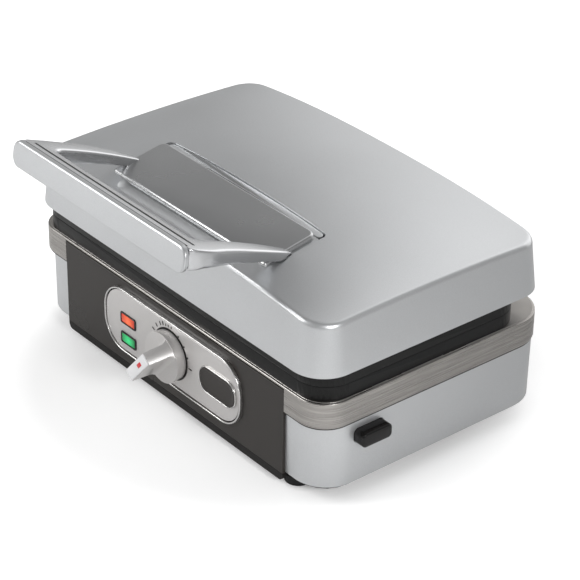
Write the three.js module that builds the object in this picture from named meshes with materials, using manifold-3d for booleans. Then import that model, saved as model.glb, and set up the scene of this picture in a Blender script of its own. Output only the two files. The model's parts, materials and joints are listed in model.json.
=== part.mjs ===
// A hinged table grill: a banded base with a control panel, two closing plates and a crowned lid.
// X runs to the right of someone who stands before it, Y to the back and Z up. Lengths are millimetres.
import * as THREE from 'three';
import { mergeVertices } from 'three/addons/utils/BufferGeometryUtils.js';
import Module from 'manifold-3d';

const wasm = await Module();
wasm.setup();

// Fits and fineness
const clearance = 0.3;
const overrun = 1;
const weldDistance = 1e-4;
const cornerSteps = 5;
const fineSteps = 3;
const slotSteps = 1;
const sideSteps = 3;
const roundSteps = 12;
const smallRoundSteps = 8;
const quarterTurn = Math.PI / 2;

// Base: outline of the metal band, and the levels of its pieces above the table
const baseHalfWidth = 170;
const baseHalfDepth = 108.6;
const baseFrontRadius = 22.7;
const baseRearRadius = 30;
const footHeight = 8;
const trayHeight = 3.7;
const coverHeight = 52.1;
const bandHeight = 19.8;
const trayTop = footHeight + trayHeight;
const bandBottom = trayTop + coverHeight;
const deckTop = bandBottom + bandHeight;
const sheetThickness = 1;
const beadHeight = 0.5;
const beadWidth = 1.5;

// Base tray
const trayFloor = 2.5;
const trayWall = 2.2;
const trayUnderInset = 2.8;
const trayEdgeRise = 2.5;
const innerWallGap = 0.5;
const innerWallHeight = 8;
const frontLipDrop = 2.5;
const frontLipRadius = 4.5;
const footInsetX = 42;
const footInsetY = 16.6;
const footPlaceX = baseHalfWidth - footInsetX;
const footPlaceY = baseHalfDepth - footInsetY;
const footRadius = 11;
const footFlare = 1;
const footScrewRadius = 2;
const footPostRadius = 5;
const footPostHeight = 12;
const ventCount = 5;
const ventPitch = 11;
const ventWidth = 4;
const ventLength = 34;
const ventCentreX = 55;

// Side covers, front panel and rear panel
const coverInset = 1;
const coverWall = 2.2;
const coverTaper = 0.5;
const coverFrontTaper = 1.4;
const coverFootRadius = 28;
const coverLipHeight = 8;
const coverLipStep = 0.4;
const frontCoverReach = 39;
const rearCoverReach = 50;
const frontSeam = baseHalfWidth - frontCoverReach;
const rearSeam = baseHalfWidth - rearCoverReach;
const panelWall = 3;
const rearPanelWall = 2.2;
const panelTopGap = 0.9;
const louvreRows = 5;
const louvreColumns = 2;
const louvrePitch = 7;
const louvreHeight = 2.4;
const louvreLength = 56;
const louvreCentreX = 50;
const louvreBottom = 27;

// Cord inlet in the rear panel
const glandFromSeam = 25;
const glandRise = 18.3;
const glandX = rearSeam - glandFromSeam;
const glandZ = trayTop + glandRise;
const glandHole = 3.6;
const glandRadius = 6;
const glandFlange = 8.5;
const glandLength = 14.8;
const glandFlangeWall = 2;

// Escutcheon, lamps and badge on the front panel
const escutcheonX = 3.75;
const escutcheonRise = 0.85;
const escutcheonZ = (trayTop + deckTop) / 2 + escutcheonRise;
const escutcheonHalfWidth = 82.1;
const escutcheonHalfHeight = 26.9;
const escutcheonRadius = 23.2;
const escutcheonWall = 1.7;
const bezelWidth = 1.9;
const bezelProud = 0.9;
const lensShare = 0.636;
const lensX = escutcheonX - lensShare * escutcheonHalfWidth;
const lensHalfWidth = 9.4;
const lensHalfHeight = 4.4;
const lensRadius = 1.5;
const lensUpperRise = 2.8;
const lensLowerDrop = 14.1;
const lensUpperZ = escutcheonZ + lensUpperRise;
const lensLowerZ = escutcheonZ - lensLowerDrop;
const lensProud = 0.7;
const lensLength = 9;
const lampHolderLength = 22;
const badgeShare = 0.689;
const badgeWidthShare = 0.26;
const badgeRise = 0.6;
const badgeX = escutcheonX + badgeShare * escutcheonHalfWidth;
const badgeZ = escutcheonZ + badgeRise;
const badgeHalfWidth = badgeWidthShare * escutcheonHalfWidth;
const badgeHalfHeight = 11.3;
const badgeRadius = 10.4;
const badgeRingWidth = 1.3;
const badgeWall = 1.2;
const badgeRingProud = 0.5;

// Control knob and thermostat
const knobRadius = 20;
const knobSkirt = 4;
const knobNeckRadius = 18.4;
const knobLength = 29;
const knobGripHalfWidth = 5.4;
const knobScoopRadius = 13;
const knobRestAngle = THREE.MathUtils.degToRad(49);
const knobCapWall = 1.4;
const knobCapInset = 0.8;
const pointerLength = 4.6;
const pointerWidth = 2.6;
const pointerReach = 7;
const pointerProud = 0.3;
const shaftRadius = 3;
const shaftReach = 12;
const thermostatWidth = 34;
const thermostatDepth = 18;
const thermostatHeight = 30;

// Cooking plates
const plateSideGap = 2.5;
const plateFrontGap = 1.8;
const rearDeckDepth = 25.2;
const plateRadius = 25;
const lowerRimHeight = 11.2;
const upperRimHeight = 9.4;
const plateSeatGap = 0.5;
const plateHalfWidth = baseHalfWidth - plateSideGap;
const plateFront = -baseHalfDepth + plateFrontGap;
const plateRear = baseHalfDepth - rearDeckDepth;
const plateMiddle = (plateFront + plateRear) / 2;
const plateHalfDepth = (plateRear - plateFront) / 2;
const plateParting = deckTop + lowerRimHeight + plateSeatGap;
const plateRimWall = 4.5;
const cookingDepth = 7;
const ribHeight = 3.5;
const ribFootHalfWidth = 3.4;
const ribCrestHalfWidth = 1.8;
const ribCount = 15;
const ribEndGap = 7;
const heaterBaseInset = 15;
const heaterBaseThickness = 4;
const plateLugLength = 12;
const plateLugWall = 2.4;
const plateLugReach = 11;
const plateLugInset = 3;
const plateLugWindow = 5;

// Heating elements and reflectors
const elementRadius = 3.2;
const elementInsetX = 49.5;
const elementInsetY = 33.1;
const elementHalfWidth = plateHalfWidth - elementInsetX;
const elementHalfDepth = plateHalfDepth - elementInsetY;
const elementBend = 24;
const elementTail = 22;
const elementSteps = 34;
const reflectorInsetX = 31.5;
const reflectorInsetY = 19.1;
const reflectorHalfWidth = plateHalfWidth - reflectorInsetX;
const reflectorHalfDepth = plateHalfDepth - reflectorInsetY;
const reflectorRadius = 18;
const reflectorDepth = 12;
const reflectorLip = 5;
const reflectorPostRadius = 5;

// Plate release buttons and their latches
const buttonFromFront = 44.85;
const buttonY = -baseHalfDepth + buttonFromFront;
const buttonHalfLength = 13.75;
const lowerButtonDrop = 12.55;
const upperButtonShare = 0.626;
const lowerButtonZ = bandBottom - lowerButtonDrop;
const buttonHalfHeight = 5.8;
const buttonProud = 10.5;
const buttonEdge = 2.5;
const buttonFlangeWall = 2;
const buttonFlangeLip = 2;
const latchWall = 2.6;
const latchHalfLength = 4.5;
const latchHookReach = 3;
const springRadius = 3.2;
const springWire = 0.5;
const springTurns = 3;
const springLength = 9;
const springStopWall = 3;
const turnSteps = 8;

// Lid
const lidSideProud = 0.3;
const lidFrontProud = 3.4;
const lidRearInset = 6.3;
const lidHalfWidth = baseHalfWidth + lidSideProud;
const lidFront = -baseHalfDepth - lidFrontProud;
const lidRear = baseHalfDepth - lidRearInset;
const lidFrontRadius = 26;
const lidRearRadius = 23;
const lidHeight = 38.8;
const lidBottom = plateParting + upperRimHeight + plateSeatGap;
const lidCrest = lidBottom + lidHeight;
const upperButtonZ = lidBottom + upperButtonShare * lidHeight;
const lidWallInset = 4.3;
const lidEdgeInset = 2.6;
const lidEdgeDrop = 4;
const lidFrontArch = 7.9;
const lidRearArch = 9;
const lidSideArch = 2.7;
const lidCrown = 10.4;
const archPower = 2.4;
const lidWall = 2.6;
const lidTopShares = [0.96, 0.82, 0.62, 0.4, 0.18];
const lidInnerTopShares = [0.88, 0.62, 0.3];
const lidFrameWall = 1.5;
const lidFrameOpeningInset = 13;

// Handle
const handleHalfWidth = 101.8;
const armWidth = 19.2;
const armShoulder = 2.6;
const armTaper = 11.8;
const handleReach = 59.6;
const handleRake = 0.17;
const handleCornerRadius = 5.6;
const barRise = 55.1;
const barHeight = 19.9;
const barTopFall = 8.1;
const barCrestSetback = 4;
const barTopDepth = 24.6;
const barUnderDepth = 13.6;
const armReach = 42;
const armTopBendReach = 2.5;
const armTopBendShare = 0.6265;
const armEndRise = 13.8;
const armEndWall = 3.2;
const armUnderBendReach = -0.9;
const armUnderBendShare = 0.61;
const armUnderSetback = 10;
const armTaperReach = -10;
const fingerReach = 24.5;
const fingerRadius = 4;
const faceWall = 3.4;
const faceGroove = 0.5;
const barGrooveSetback = 8.6;
const barGrooveWidth = 0.9;
const barGrooveDepth = 0.7;
const handlePlateSide = 6;
const handlePlateTaper = 2.3;
const handlePlateReach = 66;
const handlePlateRearRise = 20.2;
const handlePlateFrontRise = 12.6;
const handlePlateWall = 3.4;
const handleSlotWidth = 8;
const handleSlotRise = 10.5;
const handleSlotSide = 2;
const fingerDishSide = 4.6;
const fingerDishReach = 6.5;
const fingerDishRise = 14.5;
const fingerDishRadius = 10;
const fingerDishDepth = 6;
const handleScrewSide = 20.6;
const handleScrewFromRear = 20;
const handleScrewRadius = 1.8;
const handleScrewHead = 4;
const handleScrewHeadWall = 2;
const fingerHalfWidth = handleHalfWidth - armWidth;
const handleTailHalfWidth = handleHalfWidth - armTaper;
const handlePlateHalfWidth = fingerHalfWidth + handlePlateSide;
const handlePlateTailHalfWidth = handlePlateHalfWidth - handlePlateTaper;
const fingerDishHalfLength = fingerHalfWidth - fingerDishSide;
const handleScrewX = fingerHalfWidth - handleScrewSide;
const handleFront = lidFront - handleReach;
const barTopRear = handleFront + barTopDepth;
const barUnderRear = handleFront + barUnderDepth;
const fingerFront = barTopRear;
const fingerRear = lidFront + fingerReach;
const fingerDishY = fingerRear - fingerDishReach;
const armEnd = lidFront + armReach;
const armUnderEndY = armEnd - armUnderSetback;
const armTopBendY = lidFront + armTopBendReach;
const armUnderBendY = lidFront + armUnderBendReach;
const armTaperStart = lidFront + armTaperReach;
const handlePlateRear = lidFront + handlePlateReach;
const handleScrewY = handlePlateRear - handleScrewFromRear;
const barTop = lidCrest + barRise;
const barBottom = barTop - barHeight;
const barTopRearLevel = barTop - barTopFall;
const barTopFront = handleFront + handleRake * barHeight;
const armEndTop = lidCrest + armEndRise;
const armUnderEndZ = armEndTop - armEndWall;
const armTopBendZ = armEndTop + armTopBendShare * (barTopRearLevel - armEndTop);
const armUnderBendZ = armUnderEndZ + armUnderBendShare * (barBottom + sheetThickness - armUnderEndZ);
const handlePlateRearTop = lidCrest + handlePlateRearRise;
const handlePlateFrontTop = lidCrest + handlePlateFrontRise;
const handleSlotFloor = lidCrest + handleSlotRise;
const fingerDishLevel = lidCrest + fingerDishRise;

// Hinges
const hingeFromRear = 11.6;
const hingeRise = 14.4;
const hingeFromSide = 60;
const hingeY = baseHalfDepth - hingeFromRear;
const hingeZ = deckTop + hingeRise;
const hingeX = baseHalfWidth - hingeFromSide;
const hingeEar = 5;
const hingeEarWidth = 6;
const hingePinRadius = 2;
const hingePinHead = 3.4;
const hingePinHeadWall = 1.4;
const hingeArmWidth = 4;
const hingeArmReach = 10.8;
const hingeArmTop = lidBottom + hingeArmReach;
const hingeFootRear = 7.5;
const hingeFootFront = 9;
const hingeFootWall = 2;
const hingeFootSide = 8;

// Wiring pieces inside the base
const terminalFromSide = 58;
const terminalX = reflectorHalfWidth - terminalFromSide;
const terminalFromRear = 46.6;
const terminalY = baseHalfDepth - terminalFromRear;
const terminalLength = 26;
const terminalDepth = 12;
const terminalHeight = 10;
const terminalBores = 3;
const terminalBoreRadius = 1.7;
const fuseRadius = 2.4;
const fuseLength = 16;
const fuseX = -70;

// Outlines: rounded rectangles seen from above
const bandOutline = {
  x: baseHalfWidth, front: -baseHalfDepth, rear: baseHalfDepth,
  frontRadius: baseFrontRadius, rearRadius: baseRearRadius,
};
const coverOutline = inset(bandOutline, coverInset);
const coverFootOutline = {
  x: coverOutline.x - coverTaper,
  front: coverOutline.front + coverFrontTaper,
  rear: coverOutline.rear - coverFrontTaper,
  frontRadius: coverFootRadius,
  rearRadius: coverFootRadius,
};
const trayOutline = inset(coverFootOutline, coverWall + innerWallGap);
const plateOutline = {
  x: plateHalfWidth, front: plateFront, rear: plateRear,
  frontRadius: plateRadius, rearRadius: plateRadius,
};
const lidOutline = {
  x: lidHalfWidth, front: lidFront, rear: lidRear,
  frontRadius: lidFrontRadius, rearRadius: lidRearRadius,
};
const lidTopOutline = inset(lidOutline, lidWallInset);
const lidCrestOutline = inset(lidTopOutline, lidEdgeInset);
const lidMiddle = (lidFront + lidRear) / 2;

function inset(outline, distance) {
  return {
    x: outline.x - distance,
    front: outline.front + distance,
    rear: outline.rear - distance,
    frontRadius: Math.max(outline.frontRadius - distance, clearance),
    rearRadius: Math.max(outline.rearRadius - distance, clearance),
  };
}

function roundedShape({ x, front, rear, frontRadius, rearRadius }) {
  const shape = new THREE.Shape();
  shape.absarc(x - frontRadius, front + frontRadius, frontRadius, -quarterTurn, 0);
  shape.absarc(x - rearRadius, rear - rearRadius, rearRadius, 0, quarterTurn);
  shape.absarc(-x + rearRadius, rear - rearRadius, rearRadius, quarterTurn, 2 * quarterTurn);
  shape.absarc(-x + frontRadius, front + frontRadius, frontRadius, 2 * quarterTurn, 3 * quarterTurn);
  shape.closePath();
  return shape;
}

function roundedRect(centreX, centreY, halfWidth, halfHeight, radius) {
  const shape = new THREE.Shape();
  const [x, y] = [halfWidth - radius, halfHeight - radius];
  shape.absarc(centreX + x, centreY - y, radius, -quarterTurn, 0);
  shape.absarc(centreX + x, centreY + y, radius, 0, quarterTurn);
  shape.absarc(centreX - x, centreY + y, radius, quarterTurn, 2 * quarterTurn);
  shape.absarc(centreX - x, centreY - y, radius, 2 * quarterTurn, 3 * quarterTurn);
  shape.closePath();
  return shape;
}

function polygon(points) {
  return new THREE.Shape(points.map(([x, y]) => new THREE.Vector2(x, y)));
}

// Closed geometry as a solid that can be joined and cut
function solid(geometry) {
  const bare = new THREE.BufferGeometry();
  bare.setAttribute('position', geometry.getAttribute('position').clone());
  if (geometry.getIndex()) {
    bare.setIndex(geometry.getIndex().clone());
  }
  const merged = mergeVertices(bare, weldDistance);
  const corners = merged.getIndex().array;
  const triangles = [];
  for (let i = 0; i < corners.length; i += 3) {
    const [a, b, c] = [corners[i], corners[i + 1], corners[i + 2]];
    if (a !== b && b !== c && c !== a) {
      triangles.push(a, b, c);
    }
  }
  const positions = merged.getAttribute('position').array;
  if (signedVolume(positions, triangles) < 0) {
    triangles.reverse();
  }
  return new wasm.Manifold(new wasm.Mesh({
    numProp: 3,
    vertProperties: new Float32Array(positions),
    triVerts: new Uint32Array(triangles),
  }));
}

function signedVolume(positions, triangles) {
  const [a, b, c] = [new THREE.Vector3(), new THREE.Vector3(), new THREE.Vector3()];
  let volume = 0;
  for (let i = 0; i < triangles.length; i += 3) {
    a.fromArray(positions, 3 * triangles[i]);
    b.fromArray(positions, 3 * triangles[i + 1]);
    c.fromArray(positions, 3 * triangles[i + 2]);
    volume += a.dot(b.cross(c));
  }
  return volume;
}

function toGeometry(body) {
  const { vertProperties, triVerts } = body.getMesh();
  const geometry = new THREE.BufferGeometry();
  geometry.setAttribute('position', new THREE.BufferAttribute(vertProperties, 3));
  geometry.setIndex(new THREE.BufferAttribute(triVerts, 1));
  geometry.computeVertexNormals();
  return geometry;
}

function join(...bodies) {
  return bodies.reduce((whole, body) => whole.add(body));
}

function cut(body, ...tools) {
  return tools.reduce((whole, tool) => whole.subtract(tool), body);
}

// Prisms along each axis
function upright(shape, zA, zB, curveSegments = cornerSteps) {
  const [bottom, top] = [Math.min(zA, zB), Math.max(zA, zB)];
  const geometry = new THREE.ExtrudeGeometry(shape, {
    depth: top - bottom, bevelEnabled: false, curveSegments,
  });
  return solid(geometry.translate(0, 0, bottom));
}

function facing(shape, yA, yB, curveSegments = cornerSteps) {
  const [front, rear] = [Math.min(yA, yB), Math.max(yA, yB)];
  const geometry = new THREE.ExtrudeGeometry(shape, {
    depth: rear - front, bevelEnabled: false, curveSegments,
  });
  return solid(geometry.rotateX(quarterTurn).translate(0, rear, 0));
}

function sideways(shape, xA, xB, curveSegments = cornerSteps) {
  const [left, right] = [Math.min(xA, xB), Math.max(xA, xB)];
  const geometry = new THREE.ExtrudeGeometry(shape, {
    depth: right - left, bevelEnabled: false, curveSegments,
  });
  const turn = new THREE.Matrix4().set(0, 0, 1, left, 1, 0, 0, 0, 0, 1, 0, 0, 0, 0, 0, 1);
  return solid(geometry.applyMatrix4(turn));
}

function block(xA, xB, yA, yB, zA, zB) {
  const geometry = new THREE.BoxGeometry(Math.abs(xB - xA), Math.abs(yB - yA), Math.abs(zB - zA));
  return solid(geometry.translate((xA + xB) / 2, (yA + yB) / 2, (zA + zB) / 2));
}

function post(x, y, zA, zB, radius, steps = roundSteps) {
  const geometry = new THREE.CylinderGeometry(radius, radius, Math.abs(zB - zA), steps);
  return solid(geometry.rotateX(quarterTurn).translate(x, y, (zA + zB) / 2));
}

function axleX(xA, xB, y, z, radius, steps = roundSteps) {
  const geometry = new THREE.CylinderGeometry(radius, radius, Math.abs(xB - xA), steps);
  return solid(geometry.rotateZ(quarterTurn).translate((xA + xB) / 2, y, z));
}

function axleY(x, yA, yB, z, radius, steps = roundSteps) {
  const geometry = new THREE.CylinderGeometry(radius, radius, Math.abs(yB - yA), steps);
  return solid(geometry.translate(x, (yA + yB) / 2, z));
}

// A profile of [radius, distance] turned about the knob's or an inlet's axis, distance growing to the front
function turned(profile, x, y, z, steps = roundSteps) {
  const points = profile.map(([radius, distance]) => new THREE.Vector2(radius, distance));
  const geometry = new THREE.LatheGeometry(points, steps);
  return solid(geometry.rotateX(2 * quarterTurn).translate(x, y, z));
}

// A ring of points on an outline: equal counts on every ring, so that rings can be lofted
function ringPoints({ x, front, rear, frontRadius, rearRadius }) {
  const corners = [
    [x - frontRadius, front + frontRadius, frontRadius],
    [x - rearRadius, rear - rearRadius, rearRadius],
    [-x + rearRadius, rear - rearRadius, rearRadius],
    [-x + frontRadius, front + frontRadius, frontRadius],
  ];
  const arcs = corners.map(([cx, cy, radius], index) => {
    const arc = new THREE.EllipseCurve(
      cx, cy, radius, radius, (index - 1) * quarterTurn, index * quarterTurn,
    );
    return arc.getPoints(cornerSteps);
  });
  return arcs.flatMap((arc, index) => {
    const next = arcs[(index + 1) % arcs.length][0];
    const last = arc[arc.length - 1];
    const straight = [];
    for (let step = 1; step < sideSteps; step += 1) {
      straight.push(last.clone().lerp(next, step / sideSteps));
    }
    return [...arc, ...straight];
  });
}

// Rings of 3-D points, lowest first, skinned and closed at both ends
function loft(rings) {
  const count = rings[0].length;
  const positions = rings.flat().flatMap((point) => [point.x, point.y, point.z]);
  const index = [];
  for (let level = 0; level + 1 < rings.length; level += 1) {
    for (let i = 0; i < count; i += 1) {
      const a = level * count + i;
      const b = level * count + (i + 1) % count;
      index.push(a, b, b + count, a, b + count, a + count);
    }
  }
  for (const [level, turn] of [[0, false], [rings.length - 1, true]]) {
    const middle = new THREE.Vector3();
    rings[level].forEach((point) => middle.addScaledVector(point, 1 / count));
    const centre = positions.length / 3;
    positions.push(middle.x, middle.y, middle.z);
    for (let i = 0; i < count; i += 1) {
      const [a, b] = [level * count + i, level * count + (i + 1) % count];
      index.push(...(turn ? [a, b, centre] : [b, a, centre]));
    }
  }
  const geometry = new THREE.BufferGeometry();
  geometry.setAttribute('position', new THREE.Float32BufferAttribute(positions, 3));
  geometry.setIndex(index);
  return solid(geometry);
}

function levelRing(outline, z) {
  return ringPoints(outline).map((point) => new THREE.Vector3(point.x, point.y, z));
}

// A bent round bar along a curve
function bentBar(curve, radius, steps, sides) {
  const section = new THREE.Shape();
  section.absarc(0, 0, radius, 0, 4 * quarterTurn);
  const geometry = new THREE.ExtrudeGeometry(section, {
    steps, extrudePath: curve, bevelEnabled: false, curveSegments: sides,
  });
  return solid(geometry);
}

// Base tray: a pan whose wall goes up inside the covers, with a lip below the front panel, vents and posts
const feetPlaces = [-1, 1].flatMap((sideX) => [-1, 1].map((sideY) => (
  [sideX * footPlaceX, sideY * footPlaceY]
)));
const trayBottom = footHeight;
const trayFloorTop = trayBottom + trayFloor;
const reflectorBottom = plateBaseBack(-1) - clearance - reflectorDepth;

function baseTray() {
  const wallTop = trayTop + innerWallHeight;
  const pan = loft([
    levelRing(inset(trayOutline, trayUnderInset), trayBottom),
    levelRing(inset(trayOutline, trayUnderInset / 2), trayBottom + trayEdgeRise / 3),
    levelRing(trayOutline, trayBottom + trayEdgeRise),
    levelRing(trayOutline, wallTop),
  ]);
  const hollow = upright(
    roundedShape(inset(trayOutline, trayWall)), trayFloorTop, wallTop + overrun,
  );
  const panelNotch = block(
    -frontSeam - clearance, frontSeam + clearance, -baseHalfDepth - overrun,
    trayOutline.front + trayWall + overrun, trayTop, wallTop + overrun,
  );
  const posts = feetPlaces.map(([x, y]) => (
    post(x, y, trayFloorTop - overrun, trayFloorTop + footPostHeight, footPostRadius)
  ));
  const bores = feetPlaces.map(([x, y]) => (
    post(x, y, trayBottom - overrun, trayFloorTop + footPostHeight + overrun,
      footScrewRadius + clearance)
  ));
  const carriers = reflectorPlaces().map(([x, y]) => (
    post(x, y, trayFloorTop - overrun, reflectorBottom - clearance, reflectorPostRadius)
  ));
  const pillar = block(
    escutcheonX - thermostatWidth / 4, escutcheonX + thermostatWidth / 4,
    thermostatRear + clearance, thermostatRear + clearance + trayWall,
    trayFloorTop - overrun, escutcheonZ,
  );
  const bed = block(
    terminalX - terminalLength / 2, terminalX + terminalLength / 2,
    terminalY - terminalDepth / 2, terminalY + terminalDepth / 2,
    trayFloorTop - overrun, trayFloorTop + footPostHeight,
  );
  const stop = springStop(buttonSites.lower, trayFloorTop - overrun);
  const whole = join(
    cut(pan, hollow, panelNotch), frontLip(), ...posts, ...carriers, pillar, bed, stop,
  );
  return cut(whole, ...bores, ...traySlots());
}

function frontLip() {
  const bottom = trayBottom - frontLipDrop;
  const halfHeight = (trayTop - bottom + frontLipRadius) / 2;
  const slab = facing(
    roundedRect(0, bottom + halfHeight, frontSeam - clearance, halfHeight, frontLipRadius),
    -baseHalfDepth, -baseHalfDepth + footInsetY - footRadius - clearance, fineSteps,
  );
  return slab.intersect(block(-baseHalfWidth, baseHalfWidth, -baseHalfDepth - overrun,
    baseHalfDepth, 0, trayTop));
}

function traySlots() {
  const slots = [];
  for (const side of [-1, 1]) {
    for (let i = 0; i < ventCount; i += 1) {
      const x = side * ventCentreX + (i - (ventCount - 1) / 2) * ventPitch;
      const slot = roundedRect(x, 0, ventWidth / 2, ventLength / 2, ventWidth / 2 - weldDistance);
      slots.push(upright(slot, trayBottom - overrun, trayFloorTop + overrun, slotSteps));
    }
  }
  return slots;
}

function reflectorPlaces() {
  const x = reflectorHalfWidth - reflectorRadius;
  const y = reflectorHalfDepth - reflectorRadius;
  return [[-x, -y], [x, -y], [-x, y], [x, y]];
}

// A rubber foot with a sunk hole for its screw
const footBore = footScrewRadius + clearance;
const footSink = footRadius / 2;

function foot([x, y]) {
  const disc = join(
    post(x, y, 0, footHeight - clearance, footRadius - footFlare, 2 * roundSteps),
    post(x, y, footHeight / 2, footHeight - clearance, footRadius, 2 * roundSteps),
  );
  const sink = post(x, y, -overrun, footHeight / 2, footSink);
  return cut(disc, sink, post(x, y, -overrun, footHeight + overrun, footBore));
}

function footScrew([x, y]) {
  const headTop = footHeight / 2 - clearance;
  const head = post(x, y, headTop / 2, headTop, footSink - clearance, smallRoundSteps);
  const shank = post(x, y, headTop / 2 + clearance, trayFloorTop + footPostHeight, footScrewRadius,
    smallRoundSteps);
  return join(head, shank);
}

// Side covers: two halves of a tapering shell with a lip that goes up behind the band
const coverBottom = trayTop + clearance;
const coverTop = bandBottom - clearance;

function sideCover(side) {
  const shell = cut(
    loft([levelRing(coverFootOutline, coverBottom), levelRing(coverOutline, coverTop)]),
    loft([
      levelRing(inset(coverFootOutline, coverWall), coverBottom - overrun),
      levelRing(inset(coverOutline, coverWall), coverTop + overrun),
    ]),
  );
  const lip = cut(
    upright(roundedShape(inset(coverOutline, coverLipStep)), coverTop - coverLipHeight,
      coverTop + coverLipHeight),
    upright(roundedShape(inset(coverOutline, coverWall)), coverTop - coverLipHeight - overrun,
      coverTop + coverLipHeight + overrun),
  );
  const reach = baseHalfWidth + overrun;
  const half = block(side * rearSeam, side * reach, 0, baseHalfDepth, 0, deckTop);
  const frontHalf = block(side * frontSeam, side * reach, -baseHalfDepth, overrun, 0, deckTop);
  const cover = join(shell, lip).intersect(join(half, frontHalf));
  return side > 0 ? cut(cover, lowerButtonHole()) : cover;
}

// Rear panel between the covers, with louvres and the hole of the inlet
const rearPanelOuter = coverFootOutline.rear;

function rearPanel() {
  const plate = block(
    -rearSeam + clearance, rearSeam - clearance, rearPanelOuter - rearPanelWall, rearPanelOuter,
    coverBottom, coverTop,
  );
  const tools = [axleY(glandX, rearPanelOuter - rearPanelWall - overrun, rearPanelOuter + overrun,
    glandZ, glandRadius + clearance)];
  for (let column = 0; column < louvreColumns; column += 1) {
    const x = (column - (louvreColumns - 1) / 2) * 2 * louvreCentreX - louvreCentreX / louvreColumns;
    for (let row = 0; row < louvreRows; row += 1) {
      const louvre = roundedRect(x, louvreBottom + row * louvrePitch, louvreLength / 2,
        louvreHeight / 2, louvreHeight / 2 - weldDistance);
      tools.push(
        facing(louvre, rearPanelOuter - rearPanelWall - overrun, rearPanelOuter + overrun, slotSteps),
      );
    }
  }
  return cut(plate, ...tools);
}

function cordGland() {
  const collar = axleY(glandX, rearPanelOuter - glandLength / 2, rearPanelOuter + glandLength / 2,
    glandZ, glandRadius);
  const flange = axleY(glandX, rearPanelOuter + clearance,
    rearPanelOuter + clearance + glandFlangeWall, glandZ, glandFlange);
  const bore = axleY(glandX, rearPanelOuter - glandLength, rearPanelOuter + glandLength, glandZ,
    glandHole);
  return cut(join(collar, flange), bore);
}

// Front panel with its windows for the lamps and the thermostat's shaft
const panelFront = -baseHalfDepth;
const panelRear = panelFront + panelWall;
const panelTop = deckTop - sheetThickness - panelTopGap;
const escutcheonBack = panelFront - clearance;
const escutcheonFront = escutcheonBack - escutcheonWall;

function frontPanel() {
  const plate = block(-frontSeam + clearance, frontSeam - clearance, panelFront, panelRear,
    coverBottom, panelTop);
  const ribs = [-1, 1].map((side) => block(
    side * (frontSeam - trayWall - coverWall), side * (frontSeam - trayWall),
    panelRear - overrun, panelRear + panelWall, coverBottom + panelWall, bandBottom,
  ));
  return cut(join(plate, ...ribs), ...panelWindows(panelFront - overrun, panelRear + overrun));
}

function panelWindows(yA, yB) {
  const lamps = [lensUpperZ, lensLowerZ].map((z) => facing(
    roundedRect(lensX, z, lensHalfWidth + clearance, lensHalfHeight + clearance, lensRadius),
    yA, yB, fineSteps,
  ));
  return [...lamps, axleY(escutcheonX, yA, yB, escutcheonZ, shaftRadius + 2 * clearance)];
}

function escutcheonShape(distance) {
  return roundedRect(escutcheonX, escutcheonZ, escutcheonHalfWidth - distance,
    escutcheonHalfHeight - distance, escutcheonRadius - distance);
}

function escutcheon() {
  const plate = facing(escutcheonShape(bezelWidth + clearance), escutcheonBack, escutcheonFront);
  return cut(plate, ...panelWindows(escutcheonBack + overrun, escutcheonFront - overrun));
}

function escutcheonBezel() {
  const front = escutcheonFront - bezelProud;
  return cut(
    facing(escutcheonShape(0), escutcheonBack, front),
    facing(escutcheonShape(bezelWidth), escutcheonBack + overrun, front - overrun),
  );
}

function lampLens(z) {
  const shape = roundedRect(lensX, z, lensHalfWidth, lensHalfHeight, lensRadius);
  const front = escutcheonFront - lensProud;
  return facing(shape, front, front + lensLength, fineSteps);
}

function lampHolder(z) {
  const front = escutcheonFront - lensProud + lensLength + clearance;
  const sleeve = block(lensX - lensHalfWidth, lensX + lensHalfWidth, front,
    front + lampHolderLength / 2, z - lensHalfHeight, z + lensHalfHeight);
  const bulb = axleY(lensX, front + overrun, front + lampHolderLength, z,
    lensHalfHeight - lensRadius, smallRoundSteps);
  return join(sleeve, bulb);
}

function badgeShape(distance) {
  return roundedRect(badgeX, badgeZ, badgeHalfWidth - distance, badgeHalfHeight - distance,
    badgeRadius - distance);
}

const badgeBack = escutcheonFront - clearance;

function badgePlate() {
  return facing(badgeShape(badgeRingWidth + clearance), badgeBack, badgeBack - badgeWall);
}

function badgeRing() {
  const front = badgeBack - badgeWall - badgeRingProud;
  return cut(
    facing(badgeShape(0), badgeBack, front),
    facing(badgeShape(badgeRingWidth), badgeBack + overrun, front - overrun),
  );
}

// Control knob: a turned body whose two sides are scooped away to leave a grip
const knobBack = escutcheonFront - 2 * clearance;
const knobEnd = knobBack - knobLength;

function aboutKnob(body) {
  const turn = new THREE.Matrix4().makeTranslation(escutcheonX, 0, escutcheonZ)
    .multiply(new THREE.Matrix4().makeRotationY(-knobRestAngle));
  return solid(toGeometry(body).applyMatrix4(turn));
}

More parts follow.
